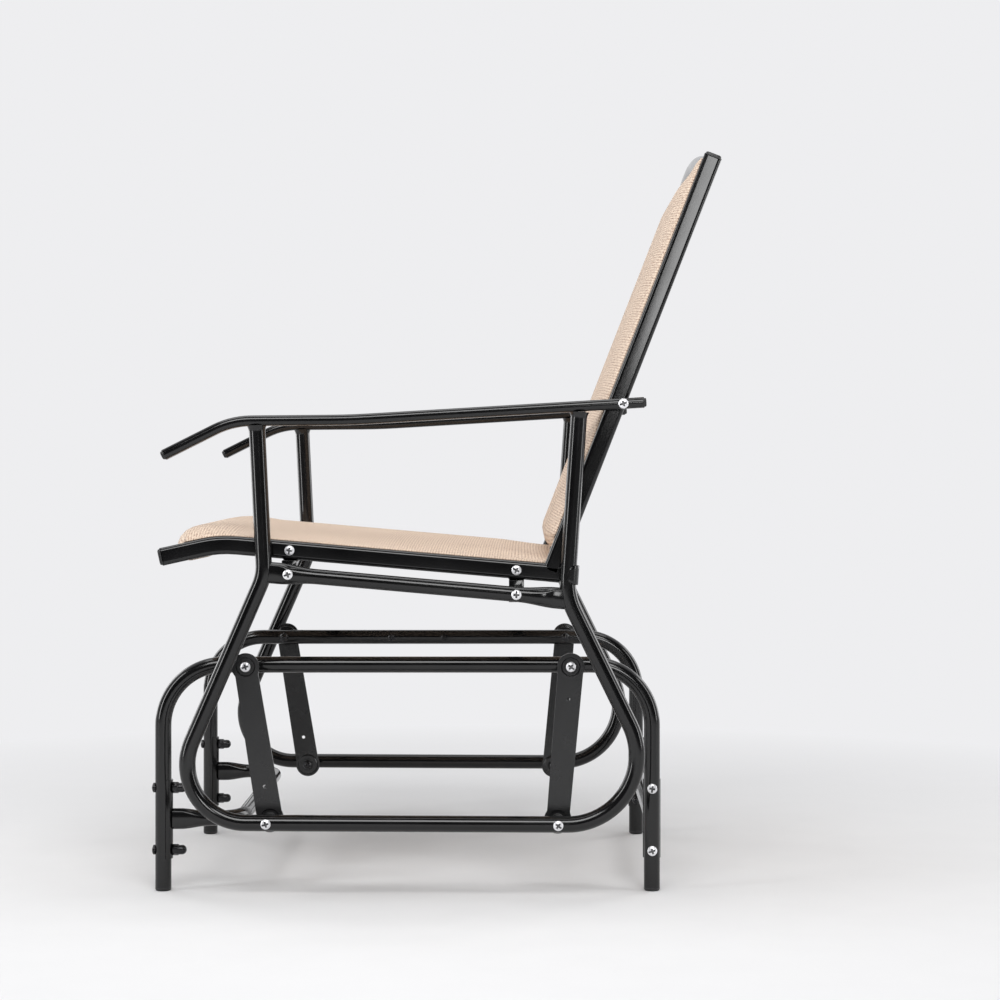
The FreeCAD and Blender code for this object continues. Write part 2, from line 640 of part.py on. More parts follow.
# Clips at the rear posts, which carry the seat rails' rear ends
post_line = unit(loop_point(REAR_POST_TOP) - loop_point(REAR_KNEE))
clip_low = loop_point(REAR_KNEE) + post_line * 14
clip = Part.makeCylinder(FRAME_TUBE / 2 + 3, 24, clip_low, post_line, 180)
clip = clip.cut(Part.makeCylinder(FRAME_TUBE / 2, 24, clip_low, post_line))
clip.rotate(clip_low, post_line, -90)
clip = clip.cut(side_loop).cut(seat_rail)

# Armrest bolts through the armrest and the upright
arm_axis = arm_rear - arm_back * ARM_BOLT_FROM_REAR
arm_head = Vector(arm_axis.x, LOOP_PLANE + ARM_WIDTH / 2, arm_axis.z)
arm_hole = rod(arm_head + ACROSS * 5, Vector(arm_head.x, RAIL_IN - 5, arm_head.z), BOLT_HOLE)
arm_bolt = bolt(arm_head, ACROSS, arm_head.y - RAIL_IN)
arm_nut = cap_nut(Vector(arm_head.x, RAIL_IN, arm_head.z), -ACROSS, SMALL_NUT_LONG)
armrest = armrest.cut(arm_hole)
upright = upright.cut(arm_hole)

# Lower pivots: bolts through the runner, spacers and, at the front, cap nuts behind the links
lower_bolts = []
lower_spacers = []
lower_nuts = []
for end in ("front", "rear"):
    pivot = PIVOT_ENDS[end]
    head_seat = pivot + ACROSS * (LOOP_PLANE + FRAME_TUBE / 2)
    hole = rod(pivot + ACROSS * LINK_PLANE, head_seat, BOLT_HOLE)
    spacer_end = (BEARING_FACE if end == "front" else LINK_FACE) + FACE_GAP
    tube_face = pivot + ACROSS * (LOOP_PLANE - FRAME_TUBE / 2)
    spacer = rod(pivot + ACROSS * spacer_end, tube_face, SPACER)
    lower_spacers.append(spacer.cut(hole))
    shank_end = CUP_BACK - FACE_GAP if end == "front" else spacer_end
    pin = bolt(head_seat, ACROSS, head_seat.y - shank_end)
    lower_bolts.append(pin)
    if end == "front":
        nut_seat = pivot + ACROSS * (CUP_BACK - FACE_GAP)
        lower_nuts.append(cap_nut(nut_seat, -ACROSS, CAP_NUT_LONG - 3))
    side_loop = side_loop.cut(hole)

write_pair("side_loop", side_loop)
write_pair("armrest", armrest)
write_both("armrest_plugs", arm_plugs)
write_pair("seat_rail", seat_rail)
write_both("seat_rail_plugs", [rail_plug])
write_pair("back_upright", upright)
write_both("back_upright_plugs", [upright_plug])
write("back_top_bar", [top_bar])
write("back_lower_bar", [lower_bar])
write("seat_front_bar", [seat_bar])
write_pair("support_rail", support_rail)
write("front_stretcher", [stretchers[0]])
write("rear_stretcher", [stretchers[1]])
write_both("stretcher_brackets", brackets)
write_both("stretcher_bolts", stretcher_bolts)
write_both("stretcher_nuts", stretcher_nuts)
write_both("rear_post_clips", [clip])
write_both("armrest_bolts", [arm_bolt])
write_both("armrest_nuts", [arm_nut])
write_both("lower_pivot_bolts", lower_bolts)
write_both("lower_pivot_spacers", lower_spacers)
write_both("lower_pivot_nuts", lower_nuts)


# Slings: the seat's lies on the rails, the back's on the fronts of the uprights
def crowned_strip(path_edge_points, bend, up_axis, crown):
    """A thin sheet that is crowned across the chair and swept along a path."""
    half = RAIL_OUT - SLING_SIDE
    start = path_edge_points[0]
    low = [start + ACROSS * half, start + up_axis * crown, start - ACROSS * half]
    high = [point + up_axis * SLING for point in low]
    outline = Part.Wire([
        Part.Arc(*low).toShape(),
        Part.LineSegment(low[2], high[2]).toShape(),
        Part.Arc(high[2], high[1], high[0]).toShape(),
        Part.LineSegment(high[0], low[0]).toShape(),
    ])
    return bent_bar(path_edge_points, bend, Part.Face(outline))


lift = RAIL_TALL / 2 + SOFT_GAP
front_up = Vector(-rail_out.z, 0, rail_out.x)
front_up = front_up if front_up.z > 0 else front_up * -1
rear_up = Vector(-rail_line.z, 0, rail_line.x)
middle_tip = seat_point(RAIL_TIP)
middle_rear = seat_point(RAIL_REAR)
bend_up = unit(front_up + rear_up) * (lift / math.cos(front_up.getAngle(rear_up) / 2))
seat_sling_points = [middle_tip - rail_out * SEAT_SLING_FRONT + front_up * lift,
                     seat_point(RAIL_BEND_AT) + bend_up,
                     middle_rear - rail_line * SEAT_SLING_REAR + rear_up * lift]
seat_sling = crowned_strip(seat_sling_points, [RAIL_BEND + lift], front_up, SEAT_CROWN)

sling_low = seat_point(BACK_FOOT) + BACK_UP * BACK_SLING_LOW + BACK_FORWARD * lift
sling_high = sling_low + BACK_UP * (BACK_LENGTH - BACK_SLING_LOW - BACK_SLING_TOP)
back_sling = crowned_strip([sling_low, sling_high], [], BACK_FORWARD, BACK_CROWN)

write("seat_sling", [seat_sling])
write("back_sling", [back_sling])
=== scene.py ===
import math
import bmesh
import bpy
from mathutils import Matrix, Vector


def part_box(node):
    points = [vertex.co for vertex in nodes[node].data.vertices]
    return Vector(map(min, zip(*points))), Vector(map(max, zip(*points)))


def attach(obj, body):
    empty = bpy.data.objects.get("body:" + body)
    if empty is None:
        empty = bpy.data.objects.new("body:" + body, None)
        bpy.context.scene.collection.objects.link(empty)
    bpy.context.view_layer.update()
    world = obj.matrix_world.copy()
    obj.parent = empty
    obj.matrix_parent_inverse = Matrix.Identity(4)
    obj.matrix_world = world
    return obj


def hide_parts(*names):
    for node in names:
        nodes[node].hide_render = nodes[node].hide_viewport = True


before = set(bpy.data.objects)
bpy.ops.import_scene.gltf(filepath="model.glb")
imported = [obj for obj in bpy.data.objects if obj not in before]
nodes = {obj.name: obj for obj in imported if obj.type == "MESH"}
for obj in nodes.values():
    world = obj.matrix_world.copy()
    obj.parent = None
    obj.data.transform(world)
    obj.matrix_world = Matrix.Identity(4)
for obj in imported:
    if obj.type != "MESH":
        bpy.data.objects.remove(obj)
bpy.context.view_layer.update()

# Base frames. Two steel tubes, 20 mm thick, each bent into an upside-down U with two legs.
# They are powder coated in a glossy black whose skin is very slightly uneven.
SIDES = {"left": -1, "right": 1}
ACROSS = Vector((0, 1, 0))
BASE_OUT = 0.227
BASE_LEGS = (-0.3413, 0.2647)
BASE_TOP = 0.280
BASE_BEND = 0.075
TUBE = 0.020
FOOT_RIM = 0.004
BEND_STEP = math.radians(4)
SHARP = math.radians(40)
HOLLOW_NARROW = 2.2
CLOUD_SCALE, CLOUD_DETAIL, GRAIN_DETAIL = 14, 4, 2
GRAIN_SHARE, SKIN_RANGE, SKIN_DEPTH = 0.35, (0.35, 0.65), 0.0003
NUMBER, VECTOR = "NodeSocketFloat", "NodeSocketVector"


def new_group(name, inputs, outputs):
    """An empty node group with named sockets: (name, type, default) and (name, type)."""
    group = bpy.data.node_groups.new(name, "ShaderNodeTree")
    for label, kind, default in inputs:
        socket = group.interface.new_socket(label, in_out="INPUT", socket_type=kind)
        socket.default_value = default
    for label, kind in outputs:
        group.interface.new_socket(label, in_out="OUTPUT", socket_type=kind)
    return group, group.nodes.new("NodeGroupInput"), group.nodes.new("NodeGroupOutput")


def feed(tree, socket, value):
    """Sets an input to a number, or links it to the socket that is given."""
    if isinstance(value, (int, float)):
        socket.default_value = value
    else:
        tree.links.new(value, socket)


def math_node(tree, operation, *values):
    node = tree.nodes.new("ShaderNodeMath")
    node.operation = operation
    for socket, value in zip(node.inputs, values):
        feed(tree, socket, value)
    return node.outputs[0]


def noise_node(tree, vector, scale, detail):
    node = tree.nodes.new("ShaderNodeTexNoise")
    for label, value in (("Vector", vector), ("Scale", scale), ("Detail", detail)):
        feed(tree, node.inputs[label], value)
    return node.outputs["Fac"]


def spread_node(tree, value, low, high, to_low, to_high):
    """A Map Range node: low and high become to_low and to_high."""
    node = tree.nodes.new("ShaderNodeMapRange")
    for label, number in (("Value", value), ("From Min", low), ("From Max", high),
                          ("To Min", to_low), ("To Max", to_high)):
        feed(tree, node.inputs[label], number)
    return node.outputs[0]


def mix_node(tree, factor, first, second):
    """A Mix node between two colours, which are its inputs 6 and 7."""
    node = tree.nodes.new("ShaderNodeMix")
    node.data_type = "RGBA"
    feed(tree, node.inputs["Factor"], factor)
    node.inputs[6].default_value = (*first, 1)
    node.inputs[7].default_value = (*second, 1)
    return node.outputs[2]


def bump_node(tree, height, strength, depth):
    node = tree.nodes.new("ShaderNodeBump")
    for label, value in (("Height", height), ("Strength", strength), ("Distance", depth)):
        feed(tree, node.inputs[label], value)
    return node.outputs[0]


def make_skin_group():
    """The uneven skin of paint, plating or plastic: a mottle, a roughness and a normal."""
    group, given, made = new_group(
        "uneven_skin",
        [("Vector", VECTOR, (0, 0, 0)), ("Grain", NUMBER, 900.0), ("Rough Low", NUMBER, 0.2),
         ("Rough High", NUMBER, 0.4), ("Depth", NUMBER, 0.1)],
        [("Mottle", NUMBER), ("Roughness", NUMBER), ("Normal", VECTOR)])
    cloud = noise_node(group, given.outputs["Vector"], CLOUD_SCALE, CLOUD_DETAIL)
    grain = noise_node(group, given.outputs["Vector"], given.outputs["Grain"], GRAIN_DETAIL)
    both = math_node(group, "MULTIPLY_ADD", grain, GRAIN_SHARE,
                     math_node(group, "MULTIPLY", cloud, 1 - GRAIN_SHARE))
    results = (("Mottle", spread_node(group, cloud, *SKIN_RANGE, 0, 1)),
               ("Roughness", spread_node(group, both, *SKIN_RANGE, given.outputs["Rough Low"],
                                         given.outputs["Rough High"])),
               ("Normal", bump_node(group, grain, given.outputs["Depth"], SKIN_DEPTH)))
    for label, value in results:
        group.links.new(value, made.inputs[label])
    return group


skin_group = make_skin_group()


def new_finish(name, group):
    """A new material with a node group that will feed its shader."""
    material = bpy.data.materials.new(name)
    material.use_nodes = True
    tree = material.node_tree
    effect = tree.nodes.new("ShaderNodeGroup")
    effect.node_tree = group
    return material, tree, tree.nodes["Principled BSDF"], effect


def hard_finish(name, dark, light, grain, rough, depth, metallic=0.0):
    """A hard surface: two close colours that the skin's mottle mixes."""
    material, tree, shader, skin = new_finish(name, skin_group)
    place = tree.nodes.new("ShaderNodeTexCoord")
    tree.links.new(place.outputs["Object"], skin.inputs["Vector"])
    for label, value in (("Grain", grain), ("Rough Low", rough[0]), ("Rough High", rough[1]),
                         ("Depth", depth)):
        skin.inputs[label].default_value = value
    tree.links.new(mix_node(tree, skin.outputs["Mottle"], dark, light),
                   shader.inputs["Base Color"])
    tree.links.new(skin.outputs["Roughness"], shader.inputs["Roughness"])
    tree.links.new(skin.outputs["Normal"], shader.inputs["Normal"])
    shader.inputs["Metallic"].default_value = metallic
    return material


black_paint = hard_finish("black_powder_coat", (0.0020, 0.0020, 0.0022), (0.0040, 0.0040, 0.0043),
                          1400, (0.10, 0.17), 0.03)


def bent_line(points, radii):
    """The middle line of a bent tube: straight runs with an arc at each corner."""
    line = [points[0]]
    for before, corner, after, radius in zip(points, points[1:], points[2:], radii):
        back, on = (before - corner).normalized(), (after - corner).normalized()
        half = back.angle(on) / 2
        centre = corner + (back + on).normalized() * (radius / math.sin(half))
        start = corner + back * (radius / math.tan(half)) - centre
        end = corner + on * (radius / math.tan(half)) - centre
        turn = math.pi - 2 * half
        steps = max(3, round(turn / BEND_STEP))
        line += [centre + Matrix.Rotation(turn * at / steps, 3, start.cross(end)) @ start
                 for at in range(steps + 1)]
    return line + [points[-1]]


def sweep_tube(mesh, line, width, height=None, corner=None, across=ACROSS, sides=32,
               hollow=0.0):
    """Extrudes a rounded outline along a line. A size may be one number, or one for each point."""
    count = len(line)
    sizes = [size if isinstance(size, list) else [size] * count
             for size in (width, height or width, corner, hollow)]
    turn = mesh.verts.layers.float.new("turn")
    ring = bmesh.ops.create_circle(mesh, segments=sides, radius=1)["verts"]
    for vert in ring:
        vert[turn] = math.atan2(vert.co.y, vert.co.x) + math.pi / sides
    edges = [edge for edge in mesh.edges if edge.verts[0] in ring]
    first_edges = edges
    for at, (point, wide, tall, curve, dip) in enumerate(zip(line, *sizes)):
        along = (line[min(at + 1, count - 1)] - line[max(at - 1, 0)]).normalized()
        up = along.cross(across).normalized()
        curve = min(wide, tall) / 2 if curve is None else curve
        if at:
            grown = bmesh.ops.extrude_edge_only(mesh, edges=edges)["geom"]
            ring = [item for item in grown if isinstance(item, bmesh.types.BMVert)]
            edges = [item for item in grown if isinstance(item, bmesh.types.BMEdge)
                     and item.verts[0] in ring and item.verts[1] in ring]
        for vert in ring:
            x, y = math.cos(vert[turn]), math.sin(vert[turn])
            flat = tall / 2 - curve - dip * max(0, 1 - HOLLOW_NARROW * x * x)
            out = math.copysign(wide / 2 - curve, x) + curve * x
            vert.co = point + across * out + up * (math.copysign(flat, y) + curve * y)
    for ends in (first_edges, edges):
        bmesh.ops.edgeloop_fill(mesh, edges=ends)
    mesh.verts.layers.float.remove(turn)


def add_piece(name, mesh, material, body, slot, *replaced, recess=None):
    """Makes a piece of a mesh: smooth but for its sharp edges, riding on a body."""
    bmesh.ops.recalc_face_normals(mesh, faces=mesh.faces)
    for face in mesh.faces:
        face.smooth = True
    for edge in mesh.edges:
        edge.smooth = edge.calc_face_angle(0) < SHARP
    data = bpy.data.meshes.new(name)
    mesh.to_mesh(data)
    mesh.free()
    data.materials.append(material)
    if recess:
        data.materials.append(recess)
    piece = bpy.data.objects.new(name, data)
    bpy.context.scene.collection.objects.link(piece)
    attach(piece, body)
    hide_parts(*replaced)
    return piece


for side, sign in SIDES.items():
    mesh = bmesh.new()
    y = sign * BASE_OUT
    front, rear = BASE_LEGS
    sweep_tube(mesh, bent_line([Vector((front, y, FOOT_RIM)), Vector((front, y, BASE_TOP)),
                                Vector((rear, y, BASE_TOP)), Vector((rear, y, FOOT_RIM))],
                               [BASE_BEND, BASE_BEND]), TUBE)
    add_piece(f"painted_base_frame_{side}", mesh, black_paint, "base", "frame_paint",
              f"base_frame_{side}")

# Foot plugs. Four black plastic plugs pushed into the legs' lower ends.
# A rim as wide as the tube, rounded where it meets the floor, shows below the steel.
FOOT_STEM = [(0, 0.020), (0.008, 0.020), (0.008, 0.001), (0.0098, 0.0005), (TUBE / 2, 0),
             (TUBE / 2, -0.0008)]
FOOT_ROUND, ROUND_STEPS = 0.0028, 4
SAME_POINT = 1e-6
UPWARD = Vector((0, 0, 1))
black_plastic = hard_finish("black_plastic", (0.006, 0.006, 0.006), (0.014, 0.014, 0.0145),
                            1500, (0.34, 0.46), 0.3)


def place_facing(place, axis, turned=0.0):
    """The matrix that puts a shape at a place with its Z along an axis, turned about it."""
    faced = axis.to_track_quat("Z", "Y").to_matrix().to_4x4()
    return Matrix.Translation(place) @ faced @ Matrix.Rotation(turned, 4, "Z")


def turn_profile(mesh, profile, place, axis, steps=32):
    """Spins a profile of (radius, distance along the axis) about an axis at a place."""
    points = [mesh.verts.new((radius, 0, along)) for radius, along in profile]
    lines = [mesh.edges.new(pair) for pair in zip(points, points[1:])]
    known = set(mesh.verts) - set(points)
    bmesh.ops.spin(mesh, geom=points + lines, cent=(0, 0, 0), axis=(0, 0, 1),
                   angle=2 * math.pi, steps=steps, use_merge=True)
    made = [vert for vert in mesh.verts if vert not in known]
    bmesh.ops.transform(mesh, matrix=place_facing(place, axis), verts=made)
    bmesh.ops.remove_doubles(mesh, verts=made, dist=SAME_POINT)


def foot_rim():
    """Profile points round the rim's lower corner, down to the middle of its underside."""
    turns = [at * math.pi / 2 / ROUND_STEPS for at in range(ROUND_STEPS + 1)]
    return [(TUBE / 2 - FOOT_ROUND + FOOT_ROUND * math.cos(turn),
             FOOT_ROUND - FOOT_RIM - FOOT_ROUND * math.sin(turn))
            for turn in turns] + [(0, -FOOT_RIM)]


mesh = bmesh.new()
for sign in SIDES.values():
    for leg in BASE_LEGS:
        turn_profile(mesh, FOOT_STEM + foot_rim(), Vector((leg, sign * BASE_OUT, FOOT_RIM)),
                     UPWARD)
add_piece("leg_end_plugs", mesh, black_plastic, "base", "plug_plastic", "foot_plugs")

# Crossbars. 18 mm tubes whose ends are pressed flat and welded to curved saddle plates on
# the legs. The front one is bent into a U that reaches back, the rear one is straight.
CROSS_TUBE = 0.018
CROSS_HEIGHT = 0.089
CROSS_BACK = -0.2453
CROSS_BEND = 0.048
FLAT_TALL, FLAT_THICK = 0.026, 0.009
FLAT_RUN, FLARE_RUN, THIN_RUN, FLARE_STEPS = 0.010, 0.034, 0.030, 10
PRESSED_DIP, PRESSED_EDGE, PRESSED_SIDES = 0.0022, 0.0001, 40
SADDLE = 0.012


def ease(share):
    """A smooth step from 0 to 1. On a pressed tube, 0 is the flat end and 1 the round tube."""
    share = min(1, max(0, share))
    return share * share * (3 - 2 * share)


def pressed_tube(mesh, points, radii, round_size, across, flat_run=FLAT_RUN, blend=FLARE_RUN,
                 thin_blend=THIN_RUN):
    """A tube whose two ends are pressed flat, wide along across, and swell to a round."""
    first, last = points[0], points[-1]
    spots = [(flat_run + blend) * at / FLARE_STEPS for at in range(FLARE_STEPS + 1)]
    head = [first + (points[1] - first).normalized() * spot for spot in spots]
    tail = [last + (points[-2] - last).normalized() * spot for spot in reversed(spots)]
    line = head + bent_line([head[-1]] + points[1:-1] + [tail[0]], radii)[1:-1] + tail
    past_flat = [min((point - first).length, (point - last).length) - flat_run
                 for point in line]
    talls = [FLAT_TALL + (round_size - FLAT_TALL) * ease(past / blend) for past in past_flat]
    thicks = [FLAT_THICK + (round_size - FLAT_THICK) * ease(past / thin_blend)
              for past in past_flat]
    corners = [min(tall, thick) / 2 - PRESSED_EDGE for tall, thick in zip(talls, thicks)]
    sweep_tube(mesh, line, talls, thicks, corners, across, PRESSED_SIDES,
               [PRESSED_DIP * (1 - ease(past / blend)) for past in past_flat])


front_end = BASE_LEGS[0] + SADDLE
mesh = bmesh.new()
pressed_tube(mesh, [Vector((front_end, -BASE_OUT, CROSS_HEIGHT)),
                    Vector((CROSS_BACK, -BASE_OUT, CROSS_HEIGHT)),
                    Vector((CROSS_BACK, BASE_OUT, CROSS_HEIGHT)),
                    Vector((front_end, BASE_OUT, CROSS_HEIGHT))],
             [CROSS_BEND, CROSS_BEND], CROSS_TUBE, UPWARD)
add_piece("bent_front_crossbar", mesh, black_paint, "base", "frame_paint", "front_crossbar")
rear_end = BASE_OUT - SADDLE
mesh = bmesh.new()
pressed_tube(mesh, [Vector((BASE_LEGS[1], -rear_end, CROSS_HEIGHT)),
                    Vector((BASE_LEGS[1], rear_end, CROSS_HEIGHT))], [], CROSS_TUBE, UPWARD)
add_piece("straight_rear_crossbar", mesh, black_paint, "base", "frame_paint", "rear_crossbar")

# Saddle plates. Curved 2 mm steel plates that hug the legs, one at each end of a crossbar.
# They are pressed from sheet, so their edges are slightly rounded.
SHEET_EDGE = 0.0006


def merged_copy(node):
    """A copy of a CAD node, whose triangles are loose, with the points that meet merged."""
    copied = bmesh.new()
    copied.from_mesh(nodes[node].data)
    bmesh.ops.remove_doubles(copied, verts=copied.verts, dist=SAME_POINT)
    return copied


def round_edges(mesh, edges, width):
    bmesh.ops.bevel(mesh, geom=edges, offset=width, offset_type="OFFSET", segments=2,
                    profile=0.5, affect="EDGES", clamp_overlap=True, material=-1)


def rounded_copy(node, width):
    """A merged copy of a CAD node with its sharp edges rounded, as on pressed sheet."""
    copied = merged_copy(node)
    bmesh.ops.dissolve_limit(copied, angle_limit=math.radians(1), verts=copied.verts,
                             edges=copied.edges)
    round_edges(copied, [edge for edge in copied.edges if edge.calc_face_angle(0) > SHARP],
                width)
    return copied


def flat_sided(piece):
    """Keeps flat sides flat in the light, where they meet rounded edges."""
    weighted = piece.modifiers.new("flat_sides", "WEIGHTED_NORMAL")
    weighted.keep_sharp = True


for end in ("front", "rear"):
    flat_sided(add_piece(f"pressed_{end}_saddles", rounded_copy(f"{end}_saddles", SHEET_EDGE),
                         black_paint, "base", "frame_paint", f"{end}_saddles"))

# Crossbar bolts. Machine bolts with low round heads and cross-shaped recesses go through legs
# and saddles. The front ones are dark, the rear ones zinc plated; all have black cap nuts.
HEAD_RADIUS, HEAD_TALL, HEAD_DOME = 0.006, 0.004, 0.45
SHANK, SHANK_EDGE, SHANK_SIDES = 0.004, 0.0008, 20
CROSS_CELLS, CROSS_ARM, CROSS_REACH, CROSS_SLOPE, CROSS_DEEP = 10, 0.2, 0.7, 0.04, 0.7
FIRST_TURN, NEXT_TURN = 0.3, 1.1
NUT_WIDE, NUT_HEX, NUT_EDGE = 0.0144, 0.40, 0.0006
CAP_WIDE, CAP_TALL, CAP_STEPS, CAP_LIP, CAP_FROM, CAP_SIDES = 0.82, 0.9, 8, 0.0008, 0.9, 28
zinc = hard_finish("zinc_plate", (0.66, 0.66, 0.68), (0.88, 0.88, 0.90), 2500, (0.26, 0.40),
                   0.10, metallic=0.45)
# Darker zinc, painted into the cross-shaped recesses of zinc heads as shade.
recess_shade_zinc = hard_finish("recess_shade_zinc", (0.09, 0.09, 0.095), (0.20, 0.20, 0.205), 2500,
                        (0.40, 0.55), 0.10, metallic=0.3)
black_zinc = hard_finish("black_zinc", (0.008, 0.008, 0.009), (0.022, 0.022, 0.024), 2500,
                         (0.15, 0.25), 0.2, metallic=0.4)


def solid_boxes(node):
    """The lowest and highest corners of each separate solid of a CAD node."""
    copied = merged_copy(node)
    left = set(copied.verts)
    boxes = []
    while left:
        reached = [left.pop()]
        points = []
        while reached:
            vert = reached.pop()
            points.append(vert.co.copy())
            around = [edge.other_vert(vert) for edge in vert.link_edges]
            fresh = left.intersection(around)
            left -= fresh
            reached += fresh
        boxes.append((Vector([min(p[i] for p in points) for i in range(3)]),
                      Vector([max(p[i] for p in points) for i in range(3)])))
    copied.free()
    return sorted(boxes, key=lambda box: tuple(round(value, 5) for value in box[0]))


def recessed_head(mesh, place, axis, radius, tall, turned):
    """A low domed head with a cross-shaped recess, from a square grid drawn into a disc."""
    known = set(mesh.verts)
    grid = set(bmesh.ops.create_grid(mesh, x_segments=CROSS_CELLS, y_segments=CROSS_CELLS,
                                     size=1)["verts"])
    cross = []
    for face in mesh.faces:
        x, y = (abs(value) for value in face.calc_center_median().xy)
        if face.verts[0] in grid and min(x, y) < CROSS_ARM and max(x, y) < CROSS_REACH:
            cross.append(face)
    rim = [edge for edge in mesh.edges if edge.is_boundary and edge.verts[0] in grid]
    for vert in grid:
        x, y = vert.co.x, vert.co.y
        disc = Vector((x * math.sqrt(1 - y * y / 2), y * math.sqrt(1 - x * x / 2)))
        vert.co = Vector((disc.x * radius, disc.y * radius,
                          tall * (1 - HEAD_DOME * disc.length_squared ** 1.5)))
    walls = bmesh.ops.inset_region(mesh, faces=cross, thickness=radius * CROSS_SLOPE,
                                   depth=-tall * CROSS_DEEP)["faces"]
    # Faces of the cross recess take the second material: for zinc heads, darker zinc painted in as
    # shade.
    for face in cross + walls:
        face.material_index = 1
    side = bmesh.ops.extrude_edge_only(mesh, edges=rim)["geom"]
    for vert in [item for item in side if isinstance(item, bmesh.types.BMVert)]:
        vert.co.z = 0
    bmesh.ops.transform(mesh, matrix=place_facing(place, axis, turned),
                        verts=[vert for vert in mesh.verts if vert not in known])


def outward(middle):
    return Vector((0, math.copysign(1, middle.y), 0))


def inward(middle):
    return -outward(middle)


def forward(middle):
    return Vector((-1, 0, 0))


def backward(middle):
    return Vector((1, 0, 0))


def size_along(low, high, direction):
    return abs((high - low).dot(direction))


def add_bolts(name, node, body, finish, facing=outward, radius=HEAD_RADIUS, tall=HEAD_TALL,
              shank=SHANK):
    """A recessed head and a shank in the place of each solid of a CAD node."""
    mesh = bmesh.new()
    for at, (low, high) in enumerate(solid_boxes(node)):
        middle = (low + high) / 2
        out = facing(middle)
        length = size_along(low, high, out)
        seat = middle + out * (length / 2 - tall)
        recessed_head(mesh, seat, out, radius, tall, FIRST_TURN + NEXT_TURN * at)
        below = length - tall
        turn_profile(mesh, [(0, 0.0), (shank, 0.0), (shank, below - SHANK_EDGE),
                            (shank - SHANK_EDGE, below), (0, below)], seat, -out, SHANK_SIDES)
    # Zinc heads get darker zinc in their recesses as painted shade; black heads keep black zinc
    # there.
    add_piece(name, mesh, finish, body, "bolt_steel", node,
              recess=recess_shade_zinc if finish is zinc else black_zinc)


def add_cap_nuts(name, node, body, facing=inward):
    """A chamfered hexagon with a domed cap in the place of each solid of a CAD node."""
    mesh = bmesh.new()
    for low, high in solid_boxes(node):
        middle = (low + high) / 2
        away = facing(middle)
        length = size_along(low, high, away)
        seat = middle - away * (length / 2)
        tall = length * NUT_HEX
        wide = NUT_WIDE / 2
        hexagon = set(bmesh.ops.create_cone(
            mesh, cap_ends=True, segments=6, radius1=wide, radius2=wide, depth=tall,
            matrix=place_facing(seat + away * tall / 2, away))["verts"])
        round_edges(mesh, [edge for edge in mesh.edges if edge.verts[0] in hexagon], NUT_EDGE)
        cap = wide * CAP_WIDE
        turns = [at * math.pi / 2 / CAP_STEPS for at in range(CAP_STEPS)]
        dome = [(cap * math.cos(turn), length - cap * CAP_TALL * (1 - math.sin(turn)))
                for turn in turns]
        start = tall * CAP_FROM
        turn_profile(mesh, [(0, start), (cap + CAP_LIP, start), (cap + CAP_LIP, tall),
                            (cap, tall + CAP_LIP), *dome, (0, length)], seat, away, CAP_SIDES)
    add_piece(name, mesh, black_zinc, body, "nut_steel", node)


add_bolts("front_crossbar_round_bolts", "front_crossbar_bolts", "base", black_zinc, forward)
add_bolts("rear_crossbar_round_bolts", "rear_crossbar_bolts", "base", zinc)
add_cap_nuts("front_crossbar_cap_nuts", "front_crossbar_nuts", "base", backward)
add_cap_nuts("rear_crossbar_cap_nuts", "rear_crossbar_nuts", "base")

# Upper pivots. A long bolt goes through each link's bearing and the top rail, with a spacer
# between them and a cap nut on the inside. The spacers are turned from steel.
SMALL_EDGE = 0.0005
add_bolts("upper_pivot_round_bolts", "upper_pivot_bolts", "base", zinc)
add_piece("upper_pivot_turned_spacers", rounded_copy("upper_pivot_spacers", SMALL_EDGE),
          black_zinc, "base", "nut_steel", "upper_pivot_spacers")
add_cap_nuts("upper_pivot_cap_nuts", "upper_pivot_nuts", "base")

# Rail screws. Two small black screws on the inner face of each top rail. Their heads have the
# same cross-shaped recess as the bolts.
SCREW_RADIUS, SCREW_TALL, SCREW_SHANK = 0.005, 0.0025, 0.0025
add_bolts("rail_round_screws", "rail_screws", "base", black_zinc, inward, SCREW_RADIUS,
          SCREW_TALL, SCREW_SHANK)

# Links. Four straps of 3 mm steel, a little wider at the top, each with a round cup pressed
# into both ends. They have the same paint, but duller, and their cut edges are rounded.
LINK_EDGE = 0.0009
link_paint = hard_finish("link_powder_coat", (0.009, 0.009, 0.0095), (0.015, 0.015, 0.0155),
                         1800, (0.16, 0.25), 0.15)
link_bodies = [f"{end}_link_{side}" for end in ("front", "rear") for side in SIDES]
for body in link_bodies:
    flat_sided(add_piece(f"pressed_{body}", rounded_copy(body, LINK_EDGE), link_paint, body,
                         "link_paint", body))

# Bearings. A moulded plastic bush in each cup, with the bolt or pin turning in it. At the rear
# lower pivots the pin is turned from steel, has its nut on its end and stays in the link.
for body in link_bodies:
    add_piece(f"{body}_round_bushes", rounded_copy(f"{body}_bearings", SMALL_EDGE),
              black_plastic, body, "bearing_plastic", f"{body}_bearings")
for side in SIDES:
    node = f"rear_link_{side}_pin"
    add_piece(f"turned_{node}", rounded_copy(node, SMALL_EDGE), black_zinc,
              f"rear_link_{side}", "bolt_steel", node)

# Side loops. One 20 mm tube on each side makes the front post, the runner and the rear post.
# Its two upper ends are cut to the armrest and welded on, with a small fillet of weld.
LOOP_OUT = 0.300
WELD_RUN, WELD_SWELL, WELD_STEPS = 0.008, 0.005, 5
WELD_CROWDED, WELD_HOLLOW = 1.4, 2.2
LOOP_POINTS = [(-0.2172, 0.5762), (-0.2084, 0.3946), (-0.3385, 0.0951), (0.2939, 0.0920),
               (0.1579, 0.3696), (0.1731, 0.5922)]
LOOP_BENDS = [0.060, 0.071, 0.084, 0.080]


def in_side_view(points, y):
    return [Vector((x, y, z)) for x, z in points]


